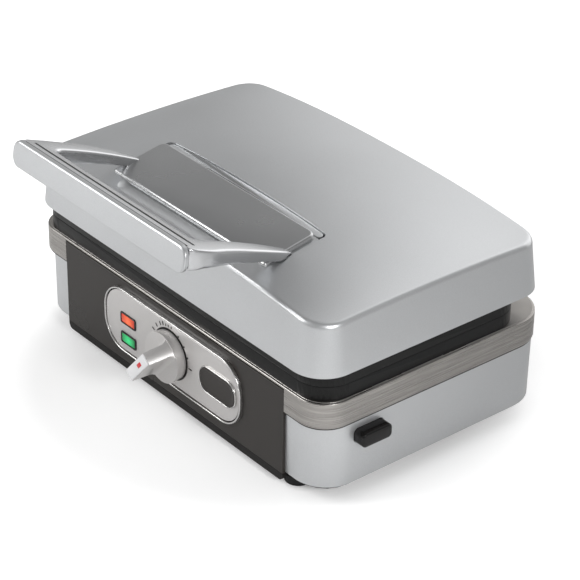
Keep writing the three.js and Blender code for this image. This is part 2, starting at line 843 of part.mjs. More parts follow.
function controlKnob() {
  const body = turned([
    [0, 0], [knobRadius - knobCapWall, 0], [knobRadius, knobCapWall], [knobRadius, knobSkirt],
    [knobNeckRadius, knobSkirt + knobCapWall], [knobNeckRadius - knobCapWall, knobLength - knobCapWall],
    [0, knobLength - knobCapWall],
  ], 0, knobBack, 0, 2 * roundSteps);
  const scoopAxis = knobBack - knobSkirt - knobCapWall - knobScoopRadius;
  const scoops = [-1, 1].flatMap((side) => {
    const z = side * (knobGripHalfWidth + knobScoopRadius);
    return [
      axleX(-knobRadius - overrun, knobRadius + overrun, scoopAxis, z, knobScoopRadius, 2 * roundSteps),
      block(-knobRadius - overrun, knobRadius + overrun, scoopAxis, knobEnd - overrun,
        side * knobGripHalfWidth, side * (knobRadius + overrun)),
      block(-knobRadius - overrun, knobRadius + overrun, scoopAxis + knobScoopRadius,
        knobEnd - overrun, z, side * (knobRadius + knobScoopRadius)),
    ];
  });
  const bore = axleY(0, knobBack + overrun, knobBack - shaftReach - clearance, 0,
    shaftRadius + clearance);
  return aboutKnob(cut(body, ...scoops, bore));
}

function knobCap() {
  const radius = knobNeckRadius - knobCapWall;
  const disc = axleY(0, knobEnd + knobCapWall - clearance, knobEnd, 0, radius - knobCapInset,
    2 * roundSteps);
  const half = knobGripHalfWidth - knobCapInset;
  const bar = block(-knobRadius, knobRadius, knobBack, knobEnd - overrun, -half, half);
  return aboutKnob(disc.intersect(bar));
}

function knobPointer() {
  const mark = block(pointerReach - pointerLength, pointerReach, knobEnd - clearance / 2,
    knobEnd - clearance / 2 - pointerProud, -pointerWidth / 2, pointerWidth / 2);
  return aboutKnob(mark);
}

// Thermostat behind the panel
const thermostatFront = panelRear + clearance;
const thermostatRear = thermostatFront + thermostatDepth;

function thermostatBody() {
  const box = facing(
    roundedRect(escutcheonX, escutcheonZ, thermostatWidth / 2, thermostatHeight / 2, shaftRadius),
    thermostatFront, thermostatRear, fineSteps,
  );
  const bore = axleY(escutcheonX, thermostatFront - overrun, thermostatFront + thermostatDepth / 2,
    escutcheonZ, shaftRadius + clearance);
  return cut(box, bore);
}

function thermostatShaft() {
  return axleY(escutcheonX, knobBack - shaftReach, thermostatFront + thermostatDepth / 2 - clearance,
    escutcheonZ, shaftRadius);
}

// Metal deck: a sheet with a skirt all round and a rolled bead on its edge
const heaterOpening = inset(plateOutline, heaterBaseInset - 2 * clearance - sheetThickness);

function steelDeck() {
  const skin = upright(roundedShape(bandOutline), bandBottom, deckTop);
  const hollow = upright(
    roundedShape(inset(bandOutline, sheetThickness)), bandBottom - overrun, deckTop - sheetThickness,
  );
  const bead = cut(
    upright(roundedShape(bandOutline), deckTop - sheetThickness, deckTop + beadHeight),
    upright(roundedShape(inset(bandOutline, beadWidth)), 0, deckTop + beadHeight + overrun),
  );
  const opening = upright(roundedShape(heaterOpening), 0, deckTop + overrun);
  const panelNotch = block(
    -frontSeam, frontSeam, -baseHalfDepth - overrun, panelRear + overrun,
    bandBottom - overrun, deckTop - sheetThickness,
  );
  return cut(join(cut(skin, hollow), bead), opening, panelNotch);
}

// Cooking plates: rim, ribbed floor, thick heated base and a lug with a window for the latch
function cookingPlate(up) {
  const rimHeight = up > 0 ? upperRimHeight : lowerRimHeight;
  const face = plateParting + up * clearance / 2;
  const back = face + up * rimHeight;
  const floor = face + up * cookingDepth;
  const casting = upright(roundedShape(plateOutline), face, back);
  const basin = inset(plateOutline, plateRimWall);
  const hollow = upright(roundedShape(basin), face - up * overrun, floor);
  const base = upright(
    roundedShape(inset(plateOutline, heaterBaseInset)), back - up * overrun, plateBaseBack(up),
  );
  const ribs = [];
  const pitch = 2 * (basin.x - ribEndGap) / ribCount;
  for (let i = 0; i < ribCount; i += 1) {
    const x = (i - (ribCount - 1) / 2) * pitch;
    const crest = floor - up * ribHeight;
    const section = polygon([
      [x - ribFootHalfWidth, floor + up * clearance], [x + ribFootHalfWidth, floor + up * clearance],
      [x + ribCrestHalfWidth, crest], [x - ribCrestHalfWidth, crest],
    ]);
    const end = i === 0 || i === ribCount - 1 ? plateRadius : ribEndGap;
    ribs.push(facing(section, basin.front + end, basin.rear - end));
  }
  return join(cut(casting, hollow), base, ...ribs, plateLug(-up, up));
}

const lugOuter = plateHalfWidth - heaterBaseInset - plateLugInset;
const lugInner = lugOuter - plateLugWall;

function plateBaseBack(up) {
  const rimHeight = up > 0 ? upperRimHeight : lowerRimHeight;
  return plateParting + up * (clearance / 2 + rimHeight + heaterBaseThickness);
}

function plateLug(side, up) {
  const baseBack = plateBaseBack(up);
  const [outer, inner] = [side * lugOuter, side * lugInner];
  const end = baseBack + up * plateLugReach;
  const lug = block(inner, outer, buttonY - plateLugLength / 2, buttonY + plateLugLength / 2,
    baseBack - up * overrun, end);
  const window = block(inner - side * overrun, outer + side * overrun,
    buttonY - latchHalfLength - clearance, buttonY + latchHalfLength + clearance,
    end - up * latchWall, end - up * (latchWall + plateLugWindow));
  return cut(lug, window);
}

// Heating element: a bent rod under the heated base, with both tails on one side
function heatingElement(up) {
  const z = plateBaseBack(up) + up * (clearance + elementRadius);
  const [x, y, bend] = [elementHalfWidth, elementHalfDepth, elementBend];
  const path = new THREE.CurvePath();
  const corners = [
    [-elementTail, y / 2], [-elementTail, y], [-x, y], [-x, -y], [x, -y], [x, y],
    [elementTail, y], [elementTail, y / 2],
  ].map(([px, py]) => new THREE.Vector3(px, plateMiddle + py, z));
  let from = corners[0];
  for (let i = 1; i + 1 < corners.length; i += 1) {
    const radius = Math.min(bend, corners[i].distanceTo(corners[i - 1]) / 2,
      corners[i].distanceTo(corners[i + 1]) / 2) - clearance;
    const before = towards(corners[i], corners[i - 1], radius);
    const after = towards(corners[i], corners[i + 1], radius);
    path.add(new THREE.LineCurve3(from, before));
    path.add(new THREE.QuadraticBezierCurve3(before, corners[i], after));
    from = after;
  }
  path.add(new THREE.LineCurve3(from, corners[corners.length - 1]));
  return bentBar(path, elementRadius, elementSteps, fineSteps);
}

function towards(from, to, distance) {
  return from.clone().add(to.clone().sub(from).setLength(distance));
}

// Heat reflector: a shallow dish round the element
function reflector(up) {
  const near = plateBaseBack(up) + up * clearance;
  const far = near + up * reflectorDepth;
  const outline = {
    x: reflectorHalfWidth, front: plateMiddle - reflectorHalfDepth,
    rear: plateMiddle + reflectorHalfDepth,
    frontRadius: reflectorRadius, rearRadius: reflectorRadius,
  };
  const body = upright(roundedShape(outline), near, far, fineSteps);
  const lip = upright(
    roundedShape(inset(outline, -reflectorLip)), near, near + up * sheetThickness, fineSteps,
  );
  const hollow = upright(
    roundedShape(inset(outline, sheetThickness)), near - up * overrun, far - up * sheetThickness,
    fineSteps,
  );
  return cut(join(body, lip), hollow);
}

// Release buttons: a cap that goes through the wall, a flange that keeps it in and a latch behind it
const lidLean = lidWallInset / (lidCrest - lidBottom);
const upperWallOuter = lidHalfWidth - lidLean * (upperButtonZ - lidBottom);
const buttonSites = {
  lower: {
    side: 1, up: -1, z: lowerButtonZ,
    inner: coverOutline.x - coverWall - coverTaper / 2,
  },
  upper: {
    side: -1, up: 1, z: upperButtonZ,
    inner: upperWallOuter - lidWall - lidLean * (buttonHalfHeight + buttonFlangeLip),
  },
};
const buttonEnd = coverOutline.x + buttonProud;
const latchGap = 3 * clearance + buttonFlangeWall + clearance;

function buttonShape(z, grow) {
  return roundedRect(buttonY, z, buttonHalfLength + grow, buttonHalfHeight + grow, buttonEdge / 2);
}

function lowerButtonHole() {
  return sideways(buttonShape(lowerButtonZ, clearance), coverOutline.x - 2 * panelWall,
    baseHalfWidth + overrun, fineSteps);
}

function upperButtonHole() {
  return sideways(buttonShape(upperButtonZ, clearance), -upperWallOuter - panelWall,
    -upperWallOuter + lidWall + panelWall, fineSteps);
}

function releaseButton({ side, inner, z }) {
  const flangeTop = inner - 3 * clearance;
  const root = side * (flangeTop - buttonFlangeWall / 2);
  const stem = sideways(buttonShape(z, 0), root, side * (buttonEnd - buttonEdge), fineSteps);
  const nose = sideways(buttonShape(z, -buttonEdge / 2), root, side * buttonEnd, fineSteps);
  const flange = sideways(buttonShape(z, buttonFlangeLip), side * flangeTop,
    side * (flangeTop - buttonFlangeWall), fineSteps);
  return join(stem, nose, flange);
}

function latch({ side, inner, z, up }) {
  const outer = inner - latchGap;
  const back = plateBaseBack(up);
  const lugEnd = back + up * plateLugReach;
  const hookRoot = lugInner - clearance - latchHookReach;
  const [front, rear] = [buttonY - latchHalfLength, buttonY + latchHalfLength];
  const bridge = lugEnd + up * clearance;
  const hookTop = lugEnd - up * (latchWall + clearance + plateLugWindow / 2);
  const plate = block(side * outer, side * (outer - latchWall), front, rear,
    z + up * buttonHalfHeight, bridge);
  const arm = block(side * outer, side * hookRoot, front, rear, bridge, bridge + up * latchWall);
  const rise = block(side * hookRoot, side * (hookRoot + latchHookReach), front, rear,
    bridge + up * latchWall, hookTop);
  const hook = block(side * hookRoot, side * (lugInner + plateLugWall / 2), front, rear,
    lugEnd - up * (latchWall + clearance), hookTop);
  return join(plate, arm, rise, hook);
}

// Return spring of a button, between its latch and a stop
function springStart({ inner }) {
  return inner - latchGap - latchWall - clearance;
}

function returnSpring(site) {
  const start = springStart(site) - springWire;
  const coil = new THREE.Curve();
  coil.getPoint = (share, target = new THREE.Vector3()) => {
    const angle = share * springTurns * 4 * quarterTurn;
    const x = start - share * (springLength - 2 * springWire);
    return target.set(
      site.side * x, buttonY + springRadius * Math.cos(angle), site.z + springRadius * Math.sin(angle),
    );
  };
  return bentBar(coil, springWire, springTurns * turnSteps, fineSteps - 1);
}

function springStop(site, carrierZ) {
  const far = springStart(site) - springLength - clearance;
  return block(site.side * far, site.side * (far - springStopWall), buttonY - latchHalfLength,
    buttonY + latchHalfLength, site.z - site.up * buttonHalfHeight, carrierZ);
}

// Lid cover: a lofted shell whose wall leans in, whose edge arches and whose top is crowned
function edgeArch(v) {
  return (lidFrontArch + lidRearArch) / 2 - v * (lidFrontArch - lidRearArch) / 2;
}

function lidTopHeight(x, y) {
  const u = THREE.MathUtils.clamp(x / lidCrestOutline.x, -1, 1);
  const halfDepth = (lidCrestOutline.rear - lidCrestOutline.front) / 2;
  const v = THREE.MathUtils.clamp((y - lidMiddle) / halfDepth, -1, 1);
  const ends = edgeArch(v) * (1 - Math.abs(u) ** archPower);
  return lidCrest + ends + (1 - v ** 2) * (lidSideArch + lidCrown * (1 - Math.abs(u) ** 3));
}

function lidRing(outline, drop, shrink = 1, offset = 0) {
  return ringPoints(outline).map(({ x, y }) => {
    const [px, py] = [x * shrink, lidMiddle + (y - lidMiddle) * shrink];
    return new THREE.Vector3(px, py, lidTopHeight(px, py) - drop - offset);
  });
}

function lidSolid(wall, bottom, shares) {
  const side = inset(lidOutline, wall);
  return loft([
    levelRing(side, bottom),
    lidRing(inset(lidTopOutline, wall), lidEdgeDrop, 1, wall),
    lidRing(inset(lidCrestOutline, wall - 2 * lidEdgeInset / 3), lidEdgeDrop / 4, 1, wall),
    lidRing(inset(lidCrestOutline, wall), 0, 1, wall),
    ...shares.map((share) => lidRing(inset(lidCrestOutline, wall), 0, share, wall)),
  ]);
}

// The sunk seat of the handle: the floor under its plate, a slot behind it and a finger dish before it
function handleSeat(grow) {
  const plateUnder = handlePlateWall + clearance + grow;
  const profile = polygon([
    [fingerRear - clearance - grow, handlePlateFrontTop - plateUnder],
    [handlePlateRear, handlePlateRearTop - plateUnder],
    [handlePlateRear, handleSlotFloor - grow],
    [handlePlateRear + handleSlotWidth + grow, handleSlotFloor - grow],
    [handlePlateRear + handleSlotWidth + grow, barTop],
    [fingerRear - clearance - grow, barTop],
  ]);
  const halfWidth = handlePlateHalfWidth + handleSlotSide + grow;
  const plan = {
    x: halfWidth, front: fingerFront, rear: handlePlateRear + handleSlotWidth + grow,
    frontRadius: handleSlotSide, rearRadius: handleSlotWidth / 2,
  };
  const seat = sideways(profile, -halfWidth - overrun, halfWidth + overrun)
    .intersect(upright(roundedShape(plan), lidBottom, barTop));
  const tails = [-1, 1].map((side) => armTail(side, grow + clearance));
  return join(seat, fingerDish(grow), ...tails);
}

function armTail(side, grow) {
  const outer = handleHalfWidth + overrun - handleCornerRadius + grow;
  return block(side * (fingerHalfWidth - grow), side * outer,
    armUnderEndY - 2 * handleCornerRadius - grow, armEnd + grow, armUnderEndZ - grow, barTop);
}

function fingerDish(grow) {
  const radius = fingerDishRadius + grow;
  const depth = fingerDishDepth + grow;
  const length = 2 * (fingerDishHalfLength - fingerDishRadius);
  const capsule = new THREE.CapsuleGeometry(radius, length, smallRoundSteps / 2, roundSteps);
  capsule.rotateZ(quarterTurn).scale(1, 1, depth / radius);
  return solid(capsule.translate(0, fingerDishY, fingerDishLevel));
}

function lidCover() {
  const outer = lidSolid(0, lidBottom, lidTopShares);
  const inner = lidSolid(lidWall, lidBottom - overrun, lidInnerTopShares);
  const shell = cut(outer, inner);
  const seatBody = outer.intersect(handleSeat(lidWall));
  const screws = handleScrewPlaces().map((x) => (
    post(x, handleScrewY, lidBottom, barTop, handleScrewRadius + clearance)
  ));
  const stop = springStop(buttonSites.upper, lidCrest + lidWall).intersect(outer);
  return cut(join(shell, seatBody, stop), handleSeat(0), ...screws, upperButtonHole());
}

// Handle: the side view of the hoop crossed with its plan, and the plate that lies in the lid's seat
function hoopSide() {
  const shape = new THREE.Shape();
  shape.moveTo(handleFront, barBottom);
  shape.lineTo(barTopFront, barTop);
  shape.lineTo(barTopFront + barCrestSetback, barTop - sheetThickness);
  shape.lineTo(barTopRear, barTopRearLevel);
  shape.quadraticCurveTo(armTopBendY, armTopBendZ, armEnd, armEndTop);
  shape.lineTo(armEnd, armUnderEndZ);
  shape.lineTo(armUnderEndY, armUnderEndZ);
  shape.quadraticCurveTo(armUnderBendY, armUnderBendZ, barUnderRear, barBottom + sheetThickness);
  shape.closePath();
  return sideways(shape, -handleHalfWidth - overrun, handleHalfWidth + overrun);
}

function hoopPlan() {
  const shape = new THREE.Shape();
  const corner = handleHalfWidth - handleCornerRadius;
  shape.absarc(corner, handleFront + handleCornerRadius, handleCornerRadius, -quarterTurn, 0);
  shape.lineTo(handleHalfWidth - armShoulder, armTaperStart);
  shape.quadraticCurveTo(
    handleHalfWidth - armShoulder, (armTaperStart + armEnd) / 2,
    handleTailHalfWidth, armEnd + handleCornerRadius,
  );
  shape.lineTo(-handleTailHalfWidth, armEnd + handleCornerRadius);
  shape.quadraticCurveTo(
    -handleHalfWidth + armShoulder, (armTaperStart + armEnd) / 2,
    -handleHalfWidth + armShoulder, armTaperStart,
  );
  shape.absarc(
    -corner, handleFront + handleCornerRadius, handleCornerRadius, 2 * quarterTurn, 3 * quarterTurn,
  );
  shape.closePath();
  const middle = (fingerFront + armEnd) / 2;
  const opening = upright(
    roundedRect(0, middle + handleCornerRadius, fingerHalfWidth,
      (armEnd - fingerFront) / 2 + handleCornerRadius, fingerRadius),
    lidBottom, barTop + overrun,
  );
  const lean = new THREE.Matrix4().makeShear(0, 0, 0, 0, 0, handleRake);
  lean.elements[13] = -handleRake * barBottom;
  const prism = new THREE.ExtrudeGeometry(shape, {
    depth: barTop - lidBottom + overrun, bevelEnabled: false, curveSegments: cornerSteps,
  });
  return cut(solid(prism.translate(0, 0, lidBottom).applyMatrix4(lean)), opening);
}

function handlePlate() {
  const side = polygon([
    [fingerRear, handlePlateFrontTop - handlePlateWall],
    [handlePlateRear, handlePlateRearTop - handlePlateWall],
    [handlePlateRear, handlePlateRearTop],
    [fingerRear, handlePlateFrontTop],
  ]);
  const plan = polygon([
    [-handlePlateHalfWidth, fingerRear - overrun],
    [handlePlateHalfWidth, fingerRear - overrun],
    [handlePlateTailHalfWidth, handlePlateRear + overrun],
    [-handlePlateTailHalfWidth, handlePlateRear + overrun],
  ]);
  return sideways(side, -handleHalfWidth, handleHalfWidth)
    .intersect(upright(plan, lidBottom, barTop));
}

// The front of the bar is a separate strip, parted from the hoop along a leaning plane
function faceZone(setback) {
  const rise = overrun * handleRake;
  return sideways(polygon([
    [handleFront - handleCornerRadius, barBottom - overrun],
    [handleFront + setback - rise, barBottom - overrun],
    [barTopFront + setback + rise, barTop + overrun],
    [handleFront - handleCornerRadius, barTop + overrun],
  ]), -handleHalfWidth - overrun, handleHalfWidth + overrun);
}

function hoop() {
  return hoopSide().intersect(hoopPlan());
}

function handleFace() {
  return hoop().intersect(faceZone(faceWall));
}

function handleFrame() {
  const groove = sideways(polygon([
    [barTopRear - barGrooveSetback - barGrooveWidth, barTop],
    [barTopRear - barGrooveSetback - barGrooveWidth, grooveFloor()],
    [barTopRear - barGrooveSetback, grooveFloor()],
    [barTopRear - barGrooveSetback, barTop],
  ]), -handleHalfWidth - overrun, handleHalfWidth + overrun);
  const screws = handleScrewPlaces().map((x) => (
    post(x, handleScrewY, lidBottom, screwTop() + clearance, handleScrewRadius + clearance)
  ));
  return cut(join(cut(hoop(), faceZone(faceWall + faceGroove), groove), handlePlate()), ...screws);
}

function grooveFloor() {
  const run = barTopRear - barGrooveSetback - barTopFront;
  const fall = barTopFall / (barTopRear - barTopFront);
  return barTop - run * fall - barGrooveDepth;
}

function handleScrewPlaces() {
  return [-handleScrewX, handleScrewX];
}

function plateTopAt(y) {
  const share = (y - fingerRear) / (handlePlateRear - fingerRear);
  return handlePlateFrontTop + share * (handlePlateRearTop - handlePlateFrontTop);
}

function screwTop() {
  return plateTopAt(handleScrewY) - handlePlateWall / 2;
}

function handleScrew(x) {
  const seatTop = plateTopAt(handleScrewY - handleScrewHead) - handlePlateWall - clearance;
  const seatUnder = seatTop - lidWall;
  const headTop = seatUnder - 2 * clearance;
  const head = post(x, handleScrewY, headTop - handleScrewHeadWall, headTop, handleScrewHead,
    smallRoundSteps);
  const shank = post(x, handleScrewY, headTop - overrun, screwTop(), handleScrewRadius,
    smallRoundSteps);
  return join(head, shank);
}

// Lid frame: the sheet inside the lid's mouth that the upper plate lies against
const lidInnerOutline = inset(lidOutline, lidWall + 3 * clearance);

function lidFrame() {
  const sheet = upright(roundedShape(lidInnerOutline), lidBottom + clearance,
    lidBottom + clearance + lidFrameWall);
  const opening = upright(
    roundedShape(inset(plateOutline, lidFrameOpeningInset)), lidBottom - overrun, lidCrest,
  );
  const slots = [-1, 1].map((side) => block(
    side * (hingeX - clearance / 2), side * (hingeX - hingeArmWidth - 2 * clearance),
    hingeY - hingeEar, hingeY + 2 * clearance, lidBottom, lidCrest,
  ));
  return cut(sheet, opening, ...slots);
}

// Hinges: an ear on the deck, a pin through it and an arm that hangs from the lid's frame
function hingeBracket(side) {
  const ear = axleX(side * hingeX, side * (hingeX + hingeEarWidth), hingeY, hingeZ, hingeEar);
  const stem = block(side * hingeX, side * (hingeX + hingeEarWidth), hingeY - hingeEar, hingeY + hingeEar,
    deckTop + clearance, hingeZ);
  const sole = block(side * (hingeX - hingeFootSide), side * (hingeX + hingeEarWidth + hingeFootSide),
    hingeY - hingeFootFront, hingeY + hingeFootRear, deckTop + clearance,
    deckTop + clearance + hingeFootWall);
  const bore = axleX(side * (hingeX - overrun), side * (hingeX + hingeEarWidth + overrun), hingeY, hingeZ,
    hingePinRadius + clearance);
  return cut(join(ear, stem, sole), bore);
}

function hingeArm(side) {
  const [near, far] = [hingeX - clearance, hingeX - clearance - hingeArmWidth];
  const eye = axleX(side * near, side * far, hingeY, hingeZ, hingeEar - clearance);
  const stem = block(side * near, side * far, hingeY - hingeEar + clearance, hingeY + clearance, hingeZ,
    hingeArmTop);
  const bore = axleX(side * (near + overrun), side * (far - overrun), hingeY, hingeZ,
    hingePinRadius + clearance);
  return cut(join(eye, stem), bore);
}

function hingePin(side) {
  const [outer, inner] = [hingeX + hingeEarWidth + clearance, hingeX - 2 * clearance - hingeArmWidth];
  const shank = axleX(side * outer, side * inner, hingeY, hingeZ, hingePinRadius);
  const heads = [
    axleX(side * outer, side * (outer + hingePinHeadWall), hingeY, hingeZ, hingePinHead),
    axleX(side * inner, side * (inner - hingePinHeadWall), hingeY, hingeZ, hingePinHead),
  ];
  return join(shank, ...heads);
}

// Wiring pieces
function terminalBlock() {
  const bottom = trayFloorTop + footPostHeight + clearance;
  const body = block(terminalX - terminalLength / 2, terminalX + terminalLength / 2,
    terminalY - terminalDepth / 2, terminalY + terminalDepth / 2, bottom, bottom + terminalHeight);
  const bores = [];
  for (let i = 0; i < terminalBores; i += 1) {
    const x = terminalX + (i - (terminalBores - 1) / 2) * terminalLength / terminalBores;
    bores.push(axleY(x, terminalY - terminalDepth, terminalY + terminalDepth, bottom + terminalHeight / 2,
      terminalBoreRadius, smallRoundSteps));
  }
  return cut(body, ...bores);
}

function thermalFuse() {
  const z = reflectorBottom + sheetThickness + clearance + fuseRadius;
  return axleX(fuseX - fuseLength / 2, fuseX + fuseLength / 2, plateMiddle, z, fuseRadius, smallRoundSteps);
}

// Finishes
function finish(color, roughness, metalness) {
  return new THREE.MeshStandardMaterial({ color, roughness, metalness });
}

const silverPaint = finish(0xb9bbbc, 0.42, 0.55);
const polished = finish(0xd6d6d8, 0.22, 0.9);
const brushed = finish(0x9a948e, 0.34, 0.9);
const blackPlastic = finish(0x1f1e1d, 0.5, 0);
const panelBlack = finish(0x3c3835, 0.38, 0.1);
const castBlack = finish(0x2b2b2f, 0.55, 0.2);
const zinc = finish(0x8d8f92, 0.45, 0.85);
const rubber = finish(0x232323, 0.85, 0);
const redGlass = finish(0xe8663a, 0.2, 0);
const greenGlass = finish(0x23b567, 0.2, 0);
const ceramic = finish(0xd9d4c6, 0.7, 0);
const steelWire = finish(0x7e8084, 0.35, 0.9);

function mesh(name, body, material) {
  const part = new THREE.Mesh(toGeometry(body), material);
  part.name = name;
  return part;
}

function baseGroup() {
  const group = new THREE.Group();
  group.name = 'base';
  group.add(
    mesh('base_tray', baseTray(), blackPlastic),
    mesh('side_cover_right', sideCover(1), silverPaint),
    mesh('side_cover_left', sideCover(-1), silverPaint),
    mesh('front_panel', frontPanel(), panelBlack),
    mesh('rear_panel', rearPanel(), blackPlastic),
    mesh('cord_gland', cordGland(), rubber),
    mesh('steel_deck', steelDeck(), brushed),
    mesh('lower_plate', cookingPlate(-1), castBlack),
    mesh('lower_element', heatingElement(-1), steelWire),
    mesh('lower_reflector', reflector(-1), zinc),
    mesh('thermal_fuse', thermalFuse(), ceramic),
    mesh('terminal_block', terminalBlock(), ceramic),
    mesh('thermostat_body', thermostatBody(), zinc),
    mesh('escutcheon', escutcheon(), silverPaint),
    mesh('escutcheon_bezel', escutcheonBezel(), polished),
    mesh('lamp_lens_red', lampLens(lensUpperZ), redGlass),
    mesh('lamp_lens_green', lampLens(lensLowerZ), greenGlass),
    mesh('lamp_holder_red', lampHolder(lensUpperZ), ceramic),
    mesh('lamp_holder_green', lampHolder(lensLowerZ), ceramic),
    mesh('badge_plate', badgePlate(), panelBlack),
    mesh('badge_ring', badgeRing(), polished),
    mesh('hinge_bracket_right', hingeBracket(1), zinc),
    mesh('hinge_bracket_left', hingeBracket(-1), zinc),
    mesh('hinge_pin_right', hingePin(1), zinc),
    mesh('hinge_pin_left', hingePin(-1), zinc),
  );
  feetPlaces.forEach((place, index) => {
    group.add(
      mesh(`foot_${index + 1}`, foot(place), rubber),
      mesh(`foot_screw_${index + 1}`, footScrew(place), zinc),
    );
  });
  group.add(
    knobGroup(),
    releaseGroup('lower'),
    mesh('lower_spring', returnSpring(buttonSites.lower), steelWire),
  );
  return group;
}

function knobGroup() {
  const group = new THREE.Group();
  group.name = 'knob';
  group.add(
    mesh('control_knob', controlKnob(), silverPaint),
    mesh('knob_cap', knobCap(), finish(0xe9e8e6, 0.4, 0.1)),
    mesh('knob_pointer', knobPointer(), finish(0xd0312a, 0.4, 0)),
    mesh('thermostat_shaft', thermostatShaft(), zinc),
  );
  return group;
}

function releaseGroup(name) {
  const site = buttonSites[name];
  const group = new THREE.Group();
  group.name = `${name}_release`;
  group.add(
    mesh(`${name}_release_button`, releaseButton(site), blackPlastic),
    mesh(`${name}_plate_latch`, latch(site), zinc),
  );
  return group;
}

function lidGroup() {
  const group = new THREE.Group();
  group.name = 'lid';
  group.add(
    mesh('lid_cover', lidCover(), silverPaint),
    mesh('handle_frame', handleFrame(), silverPaint),
    mesh('handle_face', handleFace(), polished),
    mesh('handle_screw_left', handleScrew(-handleScrewX), zinc),
    mesh('handle_screw_right', handleScrew(handleScrewX), zinc),
    mesh('lid_frame', lidFrame(), zinc),
    mesh('upper_plate', cookingPlate(1), castBlack),
    mesh('upper_element', heatingElement(1), steelWire),
    mesh('upper_reflector', reflector(1), zinc),
    mesh('hinge_arm_right', hingeArm(1), zinc),
    mesh('hinge_arm_left', hingeArm(-1), zinc),
    releaseGroup('upper'),
    mesh('upper_spring', returnSpring(buttonSites.upper), steelWire),
  );
  return group;
}

const grill = new THREE.Group();
grill.name = 'multi_grill';
grill.add(baseGroup(), lidGroup());

const bounds = new THREE.Box3().setFromObject(grill);
const centre = bounds.getCenter(new THREE.Vector3());
grill.position.set(-centre.x, -centre.y, -bounds.min.z);
grill.updateMatrixWorld(true);

export default grill;
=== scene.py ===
# %% [markdown]
# # A contact grill, dressed in Blender
# The frame brings the grill's CAD pieces in metres: a base, a lid on hinges, a knob and two
# release buttons. This lesson gives every piece its finish and models the pieces that the eye
# rests on once more, with soft edges and smooth curves.

# %% Load the frame
import json
import math

import bmesh
import bpy
from mathutils import Matrix, Vector

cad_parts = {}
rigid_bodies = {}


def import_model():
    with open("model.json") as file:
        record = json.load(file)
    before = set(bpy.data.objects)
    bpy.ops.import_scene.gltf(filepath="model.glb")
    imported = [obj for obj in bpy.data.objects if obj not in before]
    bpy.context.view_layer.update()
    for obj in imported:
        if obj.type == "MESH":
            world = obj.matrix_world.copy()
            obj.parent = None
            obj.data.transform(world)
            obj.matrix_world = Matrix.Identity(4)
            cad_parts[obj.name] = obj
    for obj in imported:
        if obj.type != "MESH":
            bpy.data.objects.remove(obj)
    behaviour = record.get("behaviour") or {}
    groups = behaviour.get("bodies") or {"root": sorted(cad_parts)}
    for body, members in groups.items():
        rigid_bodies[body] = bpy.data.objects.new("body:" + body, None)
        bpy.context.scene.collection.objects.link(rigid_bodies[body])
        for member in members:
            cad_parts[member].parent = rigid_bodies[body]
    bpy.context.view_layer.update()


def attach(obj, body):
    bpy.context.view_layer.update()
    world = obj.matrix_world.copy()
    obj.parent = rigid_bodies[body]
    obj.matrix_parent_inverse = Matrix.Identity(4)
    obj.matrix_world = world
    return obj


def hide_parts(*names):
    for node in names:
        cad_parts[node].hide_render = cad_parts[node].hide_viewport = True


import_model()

# %% [markdown]
# ## Finishes
# Each finish starts as one shader with its plain numbers. Grain is laid over it in layers: a
# noise, a wave or a cell pattern on Object coordinates that shifts the colour, the roughness
# and the surface a little, as dust, drawing marks or spray do on the real thing. A picture could
# carry such marks too, but a pattern stays sharp at any size.

# %% Finish helpers
MM = 0.001


def finish(name, colour, roughness, metallic=0.0, **sockets):
    material = bpy.data.materials.new(name)
    material.use_nodes = True
    shader = material.node_tree.nodes["Principled BSDF"]
    shader.inputs["Base Color"].default_value = (*colour, 1)
    shader.inputs["Roughness"].default_value = roughness
    shader.inputs["Metallic"].default_value = metallic
    for socket, value in sockets.items():
        shader.inputs[socket.replace("_", " ")].default_value = value
    return material


def spread(tree, value, low, high, span=(0, 1)):
    """Maps a value from its span to the range from low to high."""
    ranged = tree.nodes.new("ShaderNodeMapRange")
    ranged.inputs["From Min"].default_value = span[0]
    ranged.inputs["From Max"].default_value = span[1]
    ranged.inputs["To Min"].default_value = low
    ranged.inputs["To Max"].default_value = high
    tree.links.new(value, ranged.inputs["Value"])
    return ranged.outputs["Result"]


# %% [markdown]
# A layer of grain multiplies the colour that is there, sets the roughness and adds its bumps to
# the earlier ones. Noise hardly leaves the middle third of its range, so that third is spread
# over the whole of it.

# %% Grain
TEXTURES = {"noise": ("ShaderNodeTexNoise", 0), "cells": ("ShaderNodeTexVoronoi", 0),
            "bands": ("ShaderNodeTexWave", 1)}
NOISE_SPAN = (0.32, 0.68)


def toned(tree, colour, factor):
    """Multiplies the colour that reaches a socket by a factor."""
    mix = tree.nodes.new("ShaderNodeMix")
    mix.data_type = "RGBA"
    mix.blend_type = "MULTIPLY"
    mix.inputs["Factor"].default_value = 1
    if colour.is_linked:
        tree.links.new(colour.links[0].from_socket, mix.inputs["A"])
    else:
        mix.inputs["A"].default_value = colour.default_value
    tree.links.new(factor, mix.inputs["B"])
    tree.links.new(mix.outputs["Result"], colour)


